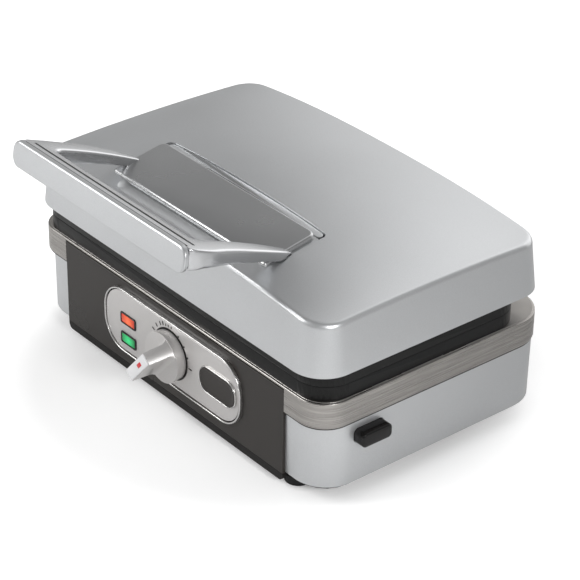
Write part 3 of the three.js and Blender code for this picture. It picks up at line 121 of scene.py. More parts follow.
def grain(material, kind, scale, tone=None, rough=None, lift=None, stretch=(1, 1, 1), detail=3.0):
    """One layer of grain: tone scales the colour, rough the roughness, lift bumps in mm."""
    tree = material.node_tree
    shader = tree.nodes["Principled BSDF"]
    place = tree.nodes.new("ShaderNodeTexCoord")
    turn = tree.nodes.new("ShaderNodeMapping")
    turn.inputs["Scale"].default_value = stretch
    tree.links.new(place.outputs["Object"], turn.inputs["Vector"])
    node_type, output = TEXTURES[kind]
    texture = tree.nodes.new(node_type)
    texture.inputs["Scale"].default_value = scale
    if kind != "cells":
        texture.inputs["Detail"].default_value = detail
    tree.links.new(turn.outputs["Vector"], texture.inputs["Vector"])
    value = texture.outputs[output]
    span = NOISE_SPAN if kind == "noise" else (0, 1)
    if tone:
        toned(tree, shader.inputs["Base Color"], spread(tree, value, *tone, span))
    if rough:
        tree.links.new(spread(tree, value, *rough, span), shader.inputs["Roughness"])
    if lift:
        bump = tree.nodes.new("ShaderNodeBump")
        bump.inputs["Strength"].default_value = 1
        bump.inputs["Distance"].default_value = lift * MM
        tree.links.new(value, bump.inputs["Height"])
        if shader.inputs["Normal"].is_linked:
            tree.links.new(shader.inputs["Normal"].links[0].from_socket, bump.inputs["Normal"])
        tree.links.new(bump.outputs["Normal"], shader.inputs["Normal"])
    return material


# %% [markdown]
# Silver paint on the shells carries fine metal flake in a clear binder: a satin sheen, soft
# clouds from the spray gun and a very fine orange peel. The hoop of the handle is a smoother and
# brighter casting. The plate at its foot has the same paint made a little darker, as painted shade
# for the dim parts it mirrors. The plastic trim has the same tone on a skin without flake. Each
# gets broad clouds first and a fine grain second.

# %% Silver finishes
paint = finish("silver_paint_finish", (0.6, 0.61, 0.62), 0.34, 0.75, Coat_Weight=0.12,
               Coat_Roughness=0.25)
grain(paint, "noise", 9, tone=(0.97, 1.03), rough=(0.33, 0.4))
grain(paint, "noise", 2600, tone=(0.94, 1.06), lift=0.004)
casting = finish("handle_casting_finish", (0.58, 0.585, 0.595), 0.22, 0.92)
grain(casting, "noise", 12, tone=(0.97, 1.03), rough=(0.18, 0.28))
grain(casting, "noise", 2400, tone=(0.94, 1.06), lift=0.003)
# The plate's paint is the silver made darker: painted shade for the dim parts that it mirrors.
plate_shaded_paint = finish("handle_plate_finish", (0.52, 0.525, 0.53), 0.27, 0.88)
grain(plate_shaded_paint, "noise", 10, tone=(0.95, 1.05), rough=(0.22, 0.32))
grain(plate_shaded_paint, "noise", 2200, tone=(0.93, 1.07), lift=0.003)
lacquer = finish("silver_plastic_finish", (0.56, 0.545, 0.535), 0.34, 0.5, Coat_Weight=0.15,
                 Coat_Roughness=0.2)
grain(lacquer, "noise", 14, tone=(0.97, 1.03), rough=(0.3, 0.38))
grain(lacquer, "noise", 3000, tone=(0.95, 1.05), lift=0.003)
print("silver:", [m.name for m in (paint, casting, plate_shaded_paint, lacquer)])

# %% [markdown]
# Bright trim and bare steel are metals, so their colour is the colour of what they mirror. The
# band is brushed along its length: its streaks are noise that is squeezed in height. Zinc
# coating shows as cells, drawn rod as fine bands.

# %% Bare metal finishes
trim = finish("polished_trim_finish", (0.66, 0.65, 0.64), 0.24, 1.0)
grain(trim, "noise", 60, tone=(0.95, 1.03), rough=(0.2, 0.3))
grain(trim, "noise", 1800, lift=0.002)
brushed = finish("brushed_steel_finish", (0.385, 0.368, 0.35), 0.3, 1.0, Anisotropic=0.4)
grain(brushed, "noise", 30, tone=(0.9, 1.08), rough=(0.22, 0.4), stretch=(1, 1, 40))
grain(brushed, "noise", 22, tone=(0.8, 1.2), lift=0.01, stretch=(1, 1, 75), detail=8)
zinc = finish("zinc_steel_finish", (0.44, 0.45, 0.47), 0.38, 0.9)
grain(zinc, "cells", 180, tone=(0.85, 1.1), rough=(0.3, 0.46))
grain(zinc, "noise", 900, tone=(0.95, 1.05), lift=0.01)
drawn = finish("element_steel_finish", (0.23, 0.235, 0.25), 0.42, 0.9)
grain(drawn, "noise", 45, tone=(0.75, 1.15), rough=(0.34, 0.52))
grain(drawn, "bands", 900, lift=0.006)
print("bare metal:", [m.name for m in (trim, brushed, zinc, drawn)])

# %% [markdown]
# The dark parts differ in gloss: a smooth panel, a moulded tray with spark-eroded grain, shiny
# buttons, cast plates under a speckled non-stick coat, and matt rubber.

# %% Dark finishes
panel = finish("panel_black_finish", (0.026, 0.0225, 0.02), 0.34, Specular_IOR_Level=0.28)
grain(panel, "noise", 25, tone=(0.92, 1.08), rough=(0.26, 0.36))
grain(panel, "noise", 1500, lift=0.004)
moulded = finish("black_plastic_finish", (0.009, 0.008, 0.0075), 0.48, Specular_IOR_Level=0.2)
grain(moulded, "noise", 40, tone=(0.85, 1.15), rough=(0.42, 0.56))
grain(moulded, "cells", 1600, lift=0.02)
gloss = finish("gloss_black_finish", (0.008, 0.0075, 0.0075), 0.2, Specular_IOR_Level=0.3)
grain(gloss, "noise", 50, tone=(0.9, 1.1), rough=(0.12, 0.22))
grain(gloss, "noise", 900, lift=0.003)
coated = finish("cast_black_finish", (0.008, 0.008, 0.008), 0.36, Specular_IOR_Level=0.22)
grain(coated, "noise", 20, tone=(0.85, 1.15), rough=(0.34, 0.48))
grain(coated, "cells", 1400, tone=(0.8, 1.25), lift=0.012)
rubber = finish("rubber_finish", (0.014, 0.014, 0.014), 0.75)
grain(rubber, "noise", 60, tone=(0.8, 1.2), rough=(0.68, 0.84))
grain(rubber, "noise", 2200, lift=0.02)
print("dark:", [m.name for m in (panel, moulded, gloss, coated, rubber)])

# %% [markdown]
# Small parts: cream ceramic, and two tinted lenses with a lamp behind each. An even glow would
# look like bright paint, so the glow is strongest in the middle of the lens and falls off to its
# edge.

# %% Ceramic and lamp lenses
LAMP_AT = {"red": (-48, -82.5, 51), "green": (-48, -82.5, 34.4)}
LENS_GLOW, LENS_REACH = (0.55, 0.02), 7.5
cream = finish("ceramic_finish", (0.64, 0.6, 0.5), 0.4)
grain(cream, "noise", 80, tone=(0.92, 1.05), rough=(0.34, 0.48))
grain(cream, "cells", 1200, lift=0.01)


def lens(name, colour, hot, centre):
    """A tinted lens, brightest in the middle where the lamp stands behind it."""
    tinted = finish(name, colour, 0.16, Emission_Color=(*hot, 1))
    grain(tinted, "noise", 220, tone=(0.8, 1.25), rough=(0.1, 0.2))
    tree = tinted.node_tree
    place = tree.nodes.new("ShaderNodeTexCoord")
    away = tree.nodes.new("ShaderNodeVectorMath")
    away.operation = "DISTANCE"
    away.inputs[1].default_value = Vector(centre) * MM
    tree.links.new(place.outputs["Object"], away.inputs[0])
    tree.links.new(spread(tree, away.outputs["Value"], *LENS_GLOW, (0, LENS_REACH * MM)),
                   tree.nodes["Principled BSDF"].inputs["Emission Strength"])
    return grain(tinted, "bands", 700, lift=0.02)


red_lens = lens("red_lens_finish", (0.62, 0.035, 0.012), (1.0, 0.28, 0.08), LAMP_AT["red"])
green_lens = lens("green_lens_finish", (0.002, 0.25, 0.06), (0.05, 1.0, 0.35), LAMP_AT["green"])
print("small parts:", [m.name for m in (cream, red_lens, green_lens)])

# %% [markdown]
# The knob is closed by a white inlay with a red mark. Both are smooth mouldings, and the white
# one has a clear coat.

# %% Inlay and mark finishes
inlay = finish("white_plastic_finish", (0.78, 0.78, 0.79), 0.3, Coat_Weight=0.2)
grain(inlay, "noise", 70, tone=(0.97, 1.02), rough=(0.26, 0.36))
grain(inlay, "noise", 1600, lift=0.004)
mark = finish("red_plastic_finish", (0.62, 0.03, 0.035), 0.3)
grain(mark, "noise", 300, tone=(0.9, 1.1), rough=(0.26, 0.36))
grain(mark, "noise", 1600, lift=0.004)
print("knob:", [m.name for m in (inlay, mark)])

# %% [markdown]
# Every CAD piece names its slot by its material and its body by its parent. Both are noted down
# before the finish takes the material's place, because a copy of a piece needs them later.

# %% Put the finishes on the CAD pieces
FINISHES = {
    "silver_paint": paint, "silver_plastic": lacquer, "polished_trim": trim,
    "brushed_steel": brushed, "panel_black": panel, "black_plastic": moulded,
    "gloss_black": gloss, "cast_black": coated, "zinc_steel": zinc, "element_steel": drawn,
    "rubber": rubber, "ceramic": cream, "red_lens": red_lens, "green_lens": green_lens,
    "white_plastic": inlay, "red_plastic": mark,
}
SLOT_OF = {}
BODY_OF = {}
for node in [o for o in bpy.data.objects if o.type == "MESH" and o.parent]:
    SLOT_OF[node.name] = node.data.materials[0].name
    BODY_OF[node.name] = node.parent.name.split(":")[1]
    node.data.materials[0] = FINISHES[SLOT_OF[node.name]]
print(len(SLOT_OF), "CAD pieces have their finish")

# %% [markdown]
# ## The small and hidden solids
# Presses and moulds leave no knife edges. Pieces whose shape the CAD gives well enough only
# need their edges broken. They could be modelled anew, but a copy that is merged, bevelled and
# put in the node's place keeps their shape.

# %% Selecting, applying and handing over
def clear():
    if bpy.context.object and bpy.context.object.mode != "OBJECT":
        bpy.ops.object.mode_set(mode="OBJECT")
    bpy.ops.object.select_all(action="DESELECT")


def take(piece, mode="OBJECT"):
    clear()
    piece.select_set(True)
    bpy.context.view_layer.objects.active = piece
    if mode == "EDIT":
        bpy.ops.object.mode_set(mode="EDIT")
    return piece


def modify(piece, kind, **settings):
    take(piece)
    modifier = piece.modifiers.new("step", kind)
    for key, value in settings.items():
        setattr(modifier, key, value)
    bpy.ops.object.modifier_apply(modifier=modifier.name)


def hand_over(piece, slot, body, nodes):
    """Gives a piece its finish and its body, and lets it stand for the nodes."""
    piece.data.materials.clear()
    piece.data.materials.append(FINISHES[slot])
    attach(piece, body)
    if nodes:
        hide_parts(*nodes)
    return piece


# %% [markdown]
# A CAD mesh is loose triangles. They are merged, and triangles of one plane become one face, so
# that the bevel meets real edges only. The ribbed plates keep their triangles: a face with that
# many corners would shade wrongly.

# %% Soften the plain pieces
RIBBED = ("lower_plate", "upper_plate")


def twin(piece, name):
    """A copy of a piece, with its own mesh."""
    copy = piece.copy()
    copy.data = piece.data.copy()
    copy.name = name
    copy.parent = None
    bpy.context.scene.collection.objects.link(copy)
    return copy


def softened(node, name, width, sharp=30):
    """A CAD piece with its loose triangles merged and its edges rounded."""
    piece = twin(bpy.data.objects[node], name)
    take(piece, "EDIT")
    bpy.ops.mesh.select_all(action="SELECT")
    bpy.ops.mesh.remove_doubles(threshold=0.002 * MM)
    if node not in RIBBED:
        bpy.ops.mesh.dissolve_limited(angle_limit=math.radians(0.5))
    bpy.ops.object.mode_set(mode="OBJECT")
    bpy.ops.object.shade_smooth_by_angle(angle=math.radians(sharp))
    modify(piece, "BEVEL", width=width * MM, segments=3, limit_method="ANGLE",
           angle_limit=math.radians(sharp), harden_normals=True, miter_outer="MITER_ARC")
    return hand_over(piece, SLOT_OF[node], BODY_OF[node], [node])


SOFT_EDGES = {
    "front_panel": 0.5, "rear_panel": 0.4, "cord_gland": 0.6, "foot_1": 0.8, "foot_2": 0.8,
    "foot_3": 0.8, "foot_4": 0.8, "hinge_bracket_right": 0.4, "hinge_bracket_left": 0.4,
    "hinge_arm_right": 0.4, "hinge_arm_left": 0.4, "hinge_pin_right": 0.3, "hinge_pin_left": 0.3,
    "base_tray": 0.35, "lid_frame": 0.3, "lower_plate": 0.6, "upper_plate": 0.6,
}
for node, width in SOFT_EDGES.items():
    softened(node, node + "_soft", width)
print(len(SOFT_EDGES), "pieces softened")

# %% [markdown]
# ## Outlines that rise in steps
# Most shells and trims of the grill are rounded outlines that rise in steps. So an outline is a
# plane whose corners are bevelled, and each further step is an extrude or an inset of its face.
# A shell that is bent later needs points in its straight sides too: the face is taken out, the
# long edges are divided, and the face is filled in again.

# %% Outlines
TURNS = {"up": (0, 0, 0), "front": (90, 0, 0), "right": (90, 0, 90), "left": (90, 0, -90)}
WAY = {"up": Vector((0, 0, 1)), "front": Vector((0, -1, 0)), "right": Vector((1, 0, 0)),
       "left": Vector((-1, 0, 0))}
SAME, STRAIGHT = 0.01, 8


def pick(piece, test, kind="verts"):
    """Selects the vertices, edges or faces whose middle passes the test, in edit mode."""
    bpy.ops.mesh.select_mode(type={"verts": "VERT", "edges": "EDGE", "faces": "FACE"}[kind])
    bpy.ops.mesh.select_all(action="DESELECT")
    mesh = bmesh.from_edit_mesh(piece.data)
    for part in getattr(mesh, kind):
        if kind == "verts":
            middle = part.co
        elif kind == "edges":
            middle = (part.verts[0].co + part.verts[1].co) / 2
        else:
            middle = part.calc_center_median()
        if test(middle / MM):
            part.select_set(True)
    bmesh.update_edit_mesh(piece.data)


def outline(name, centre, half, radii, facing="up", segments=12, divided=0):
    """A flat face with rounded corners: half sizes and radii in mm; front corners come first.

    With divided, that many points are set into each straight side, for sides that get bent.
    """
    clear()
    bpy.ops.mesh.primitive_plane_add(
        size=2, location=Vector(centre) * MM,
        rotation=[math.radians(a) for a in TURNS[facing]])
    piece = bpy.context.object
    piece.name = name
    piece.scale = (half[0] * MM, half[1] * MM, 1)
    bpy.ops.object.transform_apply(location=True, rotation=True, scale=True)
    bpy.ops.object.mode_set(mode="EDIT")
    if isinstance(radii, (int, float)):
        radii = (radii, radii)
    level = 1 if facing == "up" else 2
    for radius, side in zip(radii, (-1, 1)):
        edge = centre[level] + side * half[1]
        pick(piece, lambda p: abs(p[level] - edge) < SAME)
        bpy.ops.mesh.bevel(offset_type="OFFSET", offset=radius * MM, segments=segments,
                           profile=0.5, affect="VERTICES")
    if divided:
        bpy.ops.mesh.select_mode(type="EDGE")
        bpy.ops.mesh.select_all(action="SELECT")
        bpy.ops.mesh.delete(type="ONLY_FACE")
        mesh = bmesh.from_edit_mesh(piece.data)
        for edge in mesh.edges:
            edge.select_set(edge.calc_length() > STRAIGHT * MM)
        bmesh.update_edit_mesh(piece.data)
        bpy.ops.mesh.subdivide(number_cuts=divided)
        bpy.ops.mesh.select_all(action="SELECT")
        bpy.ops.mesh.edge_face_add()
        mesh = bmesh.from_edit_mesh(piece.data)
        mesh.faces.ensure_lookup_table()
        if mesh.faces[0].normal.dot(WAY[facing]) < 0:
            bpy.ops.mesh.flip_normals()
    bpy.ops.mesh.select_mode(type="FACE")
    bpy.ops.mesh.select_all(action="SELECT")
    return piece


# %% [markdown]
# A step that goes inwards is an inset, and one that only goes forwards an extrude. A rounded
# edge is a row of small steps round a quarter circle; it could be a bevel, but the steps say
# exactly how far in and up each ring lies.

# %% Steps and slabs
def steps(facing, moves):
    """Goes on from the selected face: (inwards, forwards) in mm for each ring."""
    for inwards, forwards in moves:
        if inwards > 0:
            bpy.ops.mesh.inset(thickness=inwards * MM, depth=forwards * MM, use_even_offset=True)
        else:
            bpy.ops.mesh.extrude_region_move(
                TRANSFORM_OT_translate={"value": WAY[facing] * forwards * MM})


def roundover(radius, count=5, hollow=False):
    """Rings of a quarter round of this radius that turns inwards; hollow turns it outwards."""
    rings = []
    last = (0, 0)
    for i in range(1, count + 1):
        angle = i / count * math.pi / 2
        at = (radius * (1 - math.cos(angle)), radius * math.sin(angle))
        if hollow:
            at = (radius * math.sin(angle), radius * (1 - math.cos(angle)))
        rings.append((at[0] - last[0], at[1] - last[1]))
        last = at
    return rings


def slab(name, centre, half, radius, height, moves=(), facing="front", segments=16, divided=0):
    """A rounded plate or block: it rises to its height, then goes on by the steps."""
    piece = outline(name, centre, half, radius, facing, segments, divided)
    steps(facing, [(0, height), *moves])
    bpy.ops.object.mode_set(mode="OBJECT")
    return piece


def widen(x, y, middle_y):
    """Scales the selected face in plan about a middle on the grill's axis."""
    bpy.ops.transform.resize(value=(x, y, 1), center_override=(0, middle_y * MM, 0))


# %% [markdown]
# Openings are cut with a boolean, because a block or a slab can be put down exactly where the
# opening is. A finished piece is shaded smooth up to an angle and handed over.

# %% Cutting and finishing
def tool(piece, cutter, operation="DIFFERENCE"):
    modify(piece, "BOOLEAN", operation=operation, object=cutter, solver="EXACT")
    bpy.data.objects.remove(cutter)


def brick(low, high):
    """A block between two corners in mm, for cutting."""
    clear()
    low, high = Vector(low), Vector(high)
    bpy.ops.mesh.primitive_cube_add(size=1, location=(low + high) / 2 * MM)
    piece = bpy.context.object
    piece.scale = (high - low) * MM
    bpy.ops.object.transform_apply(location=True, rotation=True, scale=True)
    return piece


def done(piece, slot, body, *nodes, sharp=32):
    """Shades a finished piece and hands it over."""
    take(piece)
    bpy.ops.object.shade_smooth_by_angle(angle=math.radians(sharp))
    print(piece.name, len(piece.data.polygons), "faces")
    return hand_over(piece, slot, body, nodes)


# %% [markdown]
# ## Side covers
# The lower body is wrapped by two thin silver covers that curl in under at the foot and widen a
# little on the way up. Each is made as a whole rounded ring, so that its corners match the
# band's; the bottom is opened, the sheet gets its thickness, and blocks cut away what lies
# beyond the front panel, the rear panel and the other side.

# %% Side covers
MIDDLE_Y, COVER_FOOT = 29.0, 12.0
COVER_HALF, COVER_CORNERS = (167.7, 105.4), (27, 27)
COVER_RINGS = ((1.0036, 1.006075, 0.5), (1.00176, 1.00297, 0.9), (1.0016, 1.0027, 48.6))
COVER_ENDS = ((120, MIDDLE_Y, 200), (130.7, -200, MIDDLE_Y))
COVER_OPEN, COVER_SHEET, BEYOND = (100, 60), 2.0, 220
BUTTON_Y, LOWER_BUTTON_Z, UPPER_BUTTON_Z = -34.75, 50.7, 129.5
HOLE_HALF, HOLE_CORNER, HOLE_DEPTH = (13.65, 5.95), 3.8, 40


def cover(name, side):
    piece = outline(name, (0, MIDDLE_Y, COVER_FOOT), COVER_HALF, COVER_CORNERS, segments=16)
    steps("up", [(0, 0.3)])
    for wider, deeper, rise in COVER_RINGS:
        steps("up", [(0, rise)])
        widen(wider, deeper, MIDDLE_Y)
    steps("up", roundover(0.9, 4))
    bpy.ops.mesh.delete(type="FACE")
    pick(piece, lambda p: p.z < COVER_FOOT + SAME and abs(p.x) < COVER_OPEN[0]
         and abs(p.y - MIDDLE_Y) < COVER_OPEN[1], "faces")
    bpy.ops.mesh.delete(type="FACE")
    modify(piece, "SOLIDIFY", thickness=COVER_SHEET * MM, offset=-1)
    for end, low_y, high_y in COVER_ENDS:
        low_x, high_x = sorted((-BEYOND * side, end * side))
        tool(piece, brick((low_x, low_y, 0), (high_x, high_y, 100)))
    return piece


for side, word in ((1, "right"), (-1, "left")):
    shell = cover(f"cover_{word}_shell", side)
    if side > 0:
        tool(shell, slab("hole", (150, BUTTON_Y, LOWER_BUTTON_Z), HOLE_HALF, HOLE_CORNER,
                         HOLE_DEPTH, facing="right"))
    print(shell.name, [round(c * 1000, 1) for c in shell.dimensions])
    done(shell, "silver_paint", "base", f"side_cover_{word}")

# %% [markdown]
# ## Lid
# The lid is one pressed shell: a wall that leans in a little, a tight round along the edge and
# a top that swells towards the middle. Its outline rises by extrude and inset, and the top is
# filled with ever smaller rings; then each vertex is lifted by the height that the crown has at
# its place. A subdivided cage could swell too, but would not keep the tight edge.

# %% Lid body
LID_Y, LID_HALF, LID_CORNERS = 24.15, (170.3, 107.15), (26, 23)
LID_FOOT, LID_CREST = 105.2, 144.0
LID_WALL_LEAN, LID_WALL_RISE = 4.0, 34.3
LID_EDGE, EDGE_TURN, EDGE_STEPS = (3.7, 4.6), math.radians(80), 8
CROWN_ENDS, CROWN_MIDDLE = (8.45, 0.55), (2.7, 10.4)
CROWN_SHARES = (0.99, 0.978, 0.963, 0.945, 0.925, 0.9, 0.87, 0.83, 0.78, 0.72, 0.65, 0.57,
                0.48, 0.39, 0.3, 0.21, 0.13, 0.06)


def crown(x, y, wall=0.0):
    """How far the top stands over the lid's edge at a place, in mm."""
    inwards = LID_WALL_LEAN + LID_EDGE[0] * (1 - math.cos(EDGE_TURN)) + wall
    u = min(abs(x) / (LID_HALF[0] - inwards), 1)
    v = max(-1, min(1, (y - LID_Y) / (LID_HALF[1] - inwards)))
    ends = (CROWN_ENDS[0] + CROWN_ENDS[1] * v) * (1 - u ** 2.4)
    return ends + (1 - v * v) * (CROWN_MIDDLE[0] + CROWN_MIDDLE[1] * (1 - u ** 3))


def lid_body(name, wall):
    """The lid as a solid, or with a wall the hollow inside it."""
    half = (LID_HALF[0] - wall, LID_HALF[1] - wall)
    corners = (LID_CORNERS[0] - wall, LID_CORNERS[1] - wall)
    foot = LID_FOOT if wall == 0 else LID_FOOT - 1
    piece = outline(name, (0, LID_Y, foot), half, corners, segments=20, divided=26)
    if wall > 0:
        steps("up", [(0, 1)])
    steps("up", [(0, 0.01)])
    steps("up", [(LID_WALL_LEAN / 4, (LID_WALL_RISE - wall) / 4)] * 4)
    last = (0.0, 0.0)
    for i in range(1, EDGE_STEPS + 1):
        angle = i / EDGE_STEPS * EDGE_TURN
        at = (LID_EDGE[0] * (1 - math.cos(angle)), LID_EDGE[1] * math.sin(angle))
        steps("up", [(at[0] - last[0], at[1] - last[1])])
        last = at
    share = 1.0
    for target in CROWN_SHARES:
        steps("up", [(0, 0)])
        widen(target / share, target / share, LID_Y)
        share = target
    bpy.ops.mesh.poke()
    bpy.ops.object.mode_set(mode="OBJECT")
    for vertex in piece.data.vertices:
        x, y, z = vertex.co / MM
        lifted = max(0, min(1, (z - LID_FOOT) / (LID_WALL_RISE - wall)))
        vertex.co.z += crown(x, y, wall) * lifted * MM
    return piece


# %% [markdown]
# The hoop of the handle and the cutter of its seat have one section from end to end. Such a
# sweep joins the corners of each ring to those of the next, and closes both ends.

# %% Sweeps
def sweep(name, rings):
    clear()
    mesh = bpy.data.meshes.new(name)
    size = len(rings[0])
    points = [point * MM for ring in rings for point in ring]
    faces = [list(range(size))[::-1], [len(points) - size + i for i in range(size)]]
    for k in range(len(rings) - 1):
        for i in range(size):
            j = (i + 1) % size
            faces.append([k * size + i, k * size + j, (k + 1) * size + j, (k + 1) * size + i])
    mesh.from_pydata(points, [], faces)
    piece = bpy.data.objects.new(name, mesh)
    bpy.context.scene.collection.objects.link(piece)
    take(piece, "EDIT")
    bpy.ops.mesh.select_all(action="SELECT")
    bpy.ops.mesh.normals_make_consistent(inside=False)
    bpy.ops.object.mode_set(mode="OBJECT")
    return piece


# %% [markdown]
# The handle's plate lies in a sunk seat with a slot behind it, a dish for the fingers before it
# and a notch for each arm. The same cutters, a wall's thickness larger, are first taken out of the
# shell's hollow, which gives the seat a skin of its own.

# %% Cutters for the seat of the handle
LID_SKIN = 2.6
SEAT_HALF, SEAT_FRONT, SLOT_FRONT, SLOT_BACK = 90.6, -58.8, -17.0, -9.0
SEAT_LOW, SEAT_HIGH, SLOT_FLOOR, ABOVE = 152.9, 160.5, 154.5, 200
DISH_AT, DISH_HALF, DISH_ACROSS, DISH_DEPTH = (-68.5, 158.5), 66, 12, 8
NOTCH_X, NOTCH_Y, NOTCH_FLOOR = (82.3, 99.0), (-62.6, -40.7), 154.3
NOTCH_TAPER = (2.4, 8.2)


def seat_block(grow):
    """The seat rises to the back; the slot behind it is deeper and has rounded corners."""
    half = SEAT_HALF + grow
    profile = [(SEAT_FRONT - grow, SEAT_LOW - grow), (SLOT_FRONT, SEAT_HIGH - grow),
               (SLOT_FRONT, SLOT_FLOOR - grow), (SLOT_BACK + grow, SLOT_FLOOR - grow),
               (SLOT_BACK + grow, ABOVE), (SEAT_FRONT - grow, ABOVE)]
    seat = sweep("seat", [[Vector((x, y, z)) for y, z in profile] for x in (-half, half)])
    take(seat, "EDIT")
    pick(seat, lambda p: p.y > SLOT_BACK + grow - 0.5 and p.z > 170 and abs(p.x) > 80, "edges")
    bpy.ops.mesh.bevel(offset=(4 + grow) * MM, segments=5)
    bpy.ops.object.mode_set(mode="OBJECT")
    return seat


def dish(grow):
    """A flattened ball, its two halves pulled apart along the lid."""
    clear()
    bpy.ops.mesh.primitive_uv_sphere_add(segments=64, ring_count=32,
                                         radius=(DISH_ACROSS + grow) * MM,
                                         rotation=(0, math.pi / 2, 0))
    piece = bpy.context.object
    bpy.ops.object.transform_apply(rotation=True)
    flatter = (DISH_DEPTH + grow) / (DISH_ACROSS + grow)
    for vertex in piece.data.vertices:
        if abs(vertex.co.x) > 1e-6:
            vertex.co.x += math.copysign(DISH_HALF * MM, vertex.co.x)
        vertex.co.y += DISH_AT[0] * MM
        vertex.co.z = vertex.co.z * flatter + DISH_AT[1] * MM
    return piece


def notch(side, grow):
    """Room for the foot of an arm; its outer side comes in towards the back."""
    near, far = NOTCH_X[0] - grow, NOTCH_X[1] + grow
    low_x, high_x = sorted((side * near, side * far))
    piece = brick((low_x, NOTCH_Y[0] - grow, NOTCH_FLOOR - grow),
                  (high_x, NOTCH_Y[1] + grow, ABOVE))
    for vertex in piece.data.vertices:
        if abs(vertex.co.x) > (near + far) / 2 * MM:
            at_back = vertex.co.y > sum(NOTCH_Y) / 2 * MM
            vertex.co.x -= side * NOTCH_TAPER[at_back] * MM
    return piece


# %% [markdown]
# Now the shell: the hollow loses the grown cutters, the lid loses the hollow, and then the
# cutters at their own size and the hole of the upper button are taken out of what is left.

# %% Lid shell
def seat_cutters(grow):
    return [seat_block(grow), dish(grow), notch(-1, grow), notch(1, grow)]


outer = lid_body("lid_shell", 0)
hollow = lid_body("lid_hollow", LID_SKIN)
for cutter in seat_cutters(LID_SKIN):
    tool(hollow, cutter)
tool(outer, hollow)
for cutter in seat_cutters(0):
    tool(outer, cutter)
tool(outer, slab("hole", (-150, BUTTON_Y, UPPER_BUTTON_Z), HOLE_HALF, HOLE_CORNER, HOLE_DEPTH,
                 facing="left"))
print("lid", [round(c * 1000, 1) for c in outer.dimensions])
done(outer, "silver_paint", "lid", "lid_cover", sharp=24)

# %% [markdown]
# ## Handle
# The handle is a cast hoop: a bar that widens to a flat top, turns two corners and comes down
# to the lid in two arms. It is a sweep, so the section is written once and set down at each
# place along the hoop. Seen from the side, the top and the underside each follow a curve.

# %% Side view of the handle
ARM_INNER, ARM_OUTER = 82.6, 101.8
BAR_TOP, BAR_RUN, BAR_UNDER, ARM_LOWEST = 199.1, 21.2, 179.6, 154.6
TOP_CURVE = ((-118, 191), (-80.5, 178.6), (-41, 157.8))
UNDER_CURVE = ((-129, 180), (-83.9, 170.1), (-51, ARM_LOWEST))


def curve(y, start, bend, end):
    """Height at depth y on a quadratic curve through start and end."""
    low, high = 0.0, 1.0
    for _ in range(30):
        t = (low + high) / 2
        at = (1 - t) ** 2 * start[0] + 2 * t * (1 - t) * bend[0] + t * t * end[0]
        low, high = (t, high) if at < y else (low, t)
    return (1 - t) ** 2 * start[1] + 2 * t * (1 - t) * bend[1] + t * t * end[1]


def hoop_top(y):
    bend_y, bend_z = TOP_CURVE[0]
    if y < bend_y:
        return bend_z + (BAR_TOP - bend_z) * min(1, (bend_y - y) / BAR_RUN)
    return curve(y, *TOP_CURVE)


def hoop_under(y):
    if y < UNDER_CURVE[0][0]:
        return BAR_UNDER
    return max(ARM_LOWEST, curve(y, *UNDER_CURVE))


print("top of the hoop", [round(hoop_top(y), 1) for y in (-139, -118, -80, -41)])

# %% [markdown]
# In plan the bar is straight, its corners are nearly square rounds, and the arms narrow towards
# the lid. The corners of each section are rounded as well, so that light runs along the hoop.

# %% Plan of the handle
BAR_SECTION, BAR_CORNERS = (-138.7, -135.6, -118.0, -129.0), (3.2, 1.0, 3.2, 3.2)
TURN_X, TURN_Y, TURN_REACH, TURN_POWER = 74.6, -110, (27.2, 26.5), 7
TURN_SECTION = (2.5, 8, 11)
WAIST_FROM, WAIST_TO, ARM_END = -118, -93, -41
ARM_WAIST, ARM_TAPER = 2.6, 9.2


def arm_outer(y):
    """Outer side of the right arm: it narrows behind the corner, and more towards its end."""
    if y < WAIST_TO:
        return ARM_OUTER - ARM_WAIST * max(0, min(1, (y - WAIST_FROM) / (WAIST_TO - WAIST_FROM)))
    return ARM_OUTER - ARM_WAIST - ARM_TAPER * ((y - WAIST_TO) / (ARM_END - WAIST_TO)) ** 1.6


def hoop_sections():
    """Corners of the section, from the middle of the bar to the end of the right arm."""
    sections = []
    for x in (0, 30, 60, 74):
        sections.append(([(x, y) for y in BAR_SECTION], BAR_CORNERS))
    lower, inner, back = TURN_SECTION
    for i in range(1, 10):
        turn = i / 10 * math.pi / 2
        sin, cos = math.sin(turn), math.cos(turn)
        reach = ((sin / TURN_REACH[0]) ** TURN_POWER
                 + (cos / TURN_REACH[1]) ** TURN_POWER) ** (-1 / TURN_POWER)
        plan = [(TURN_X + across * sin, TURN_Y - along * cos) for across, along in
                ((reach, reach + lower), (reach, reach), (inner, inner), (inner, inner + back))]
        sections.append((plan, (3.2, 1 + 0.2 * i, 3.2, 3.2)))
    for i in range(0, 13):
        y = TURN_Y + i / 12 * (ARM_END - TURN_Y)
        sections.append(([(arm_outer(y), y), (arm_outer(y), y), (ARM_INNER, y), (ARM_INNER, y)],
                         (3.0 - 1.5 * i / 12,) * 4))
    return sections


def rounded_section(corners, radius, count=4):
    """The ring of a section: each corner becomes a quadratic curve."""
    ring = []
    for i, corner in enumerate(corners):
        before, after = corners[i - 1], corners[(i + 1) % len(corners)]
        a, b = (corner + (other - corner).normalized()
                * min(radius[i], (other - corner).length * 0.45) for other in (before, after))
        for step in range(count + 1):
            t = step / count
            ring.append((1 - t) ** 2 * a + 2 * t * (1 - t) * corner + t * t * b)
    return ring


# %% [markdown]
# The right half of the hoop is built from its sections, the left half from their mirror images,
# and one sweep joins them all.

# %% Hoop of the handle
LEVELS = (hoop_under, hoop_top, hoop_top, hoop_under)

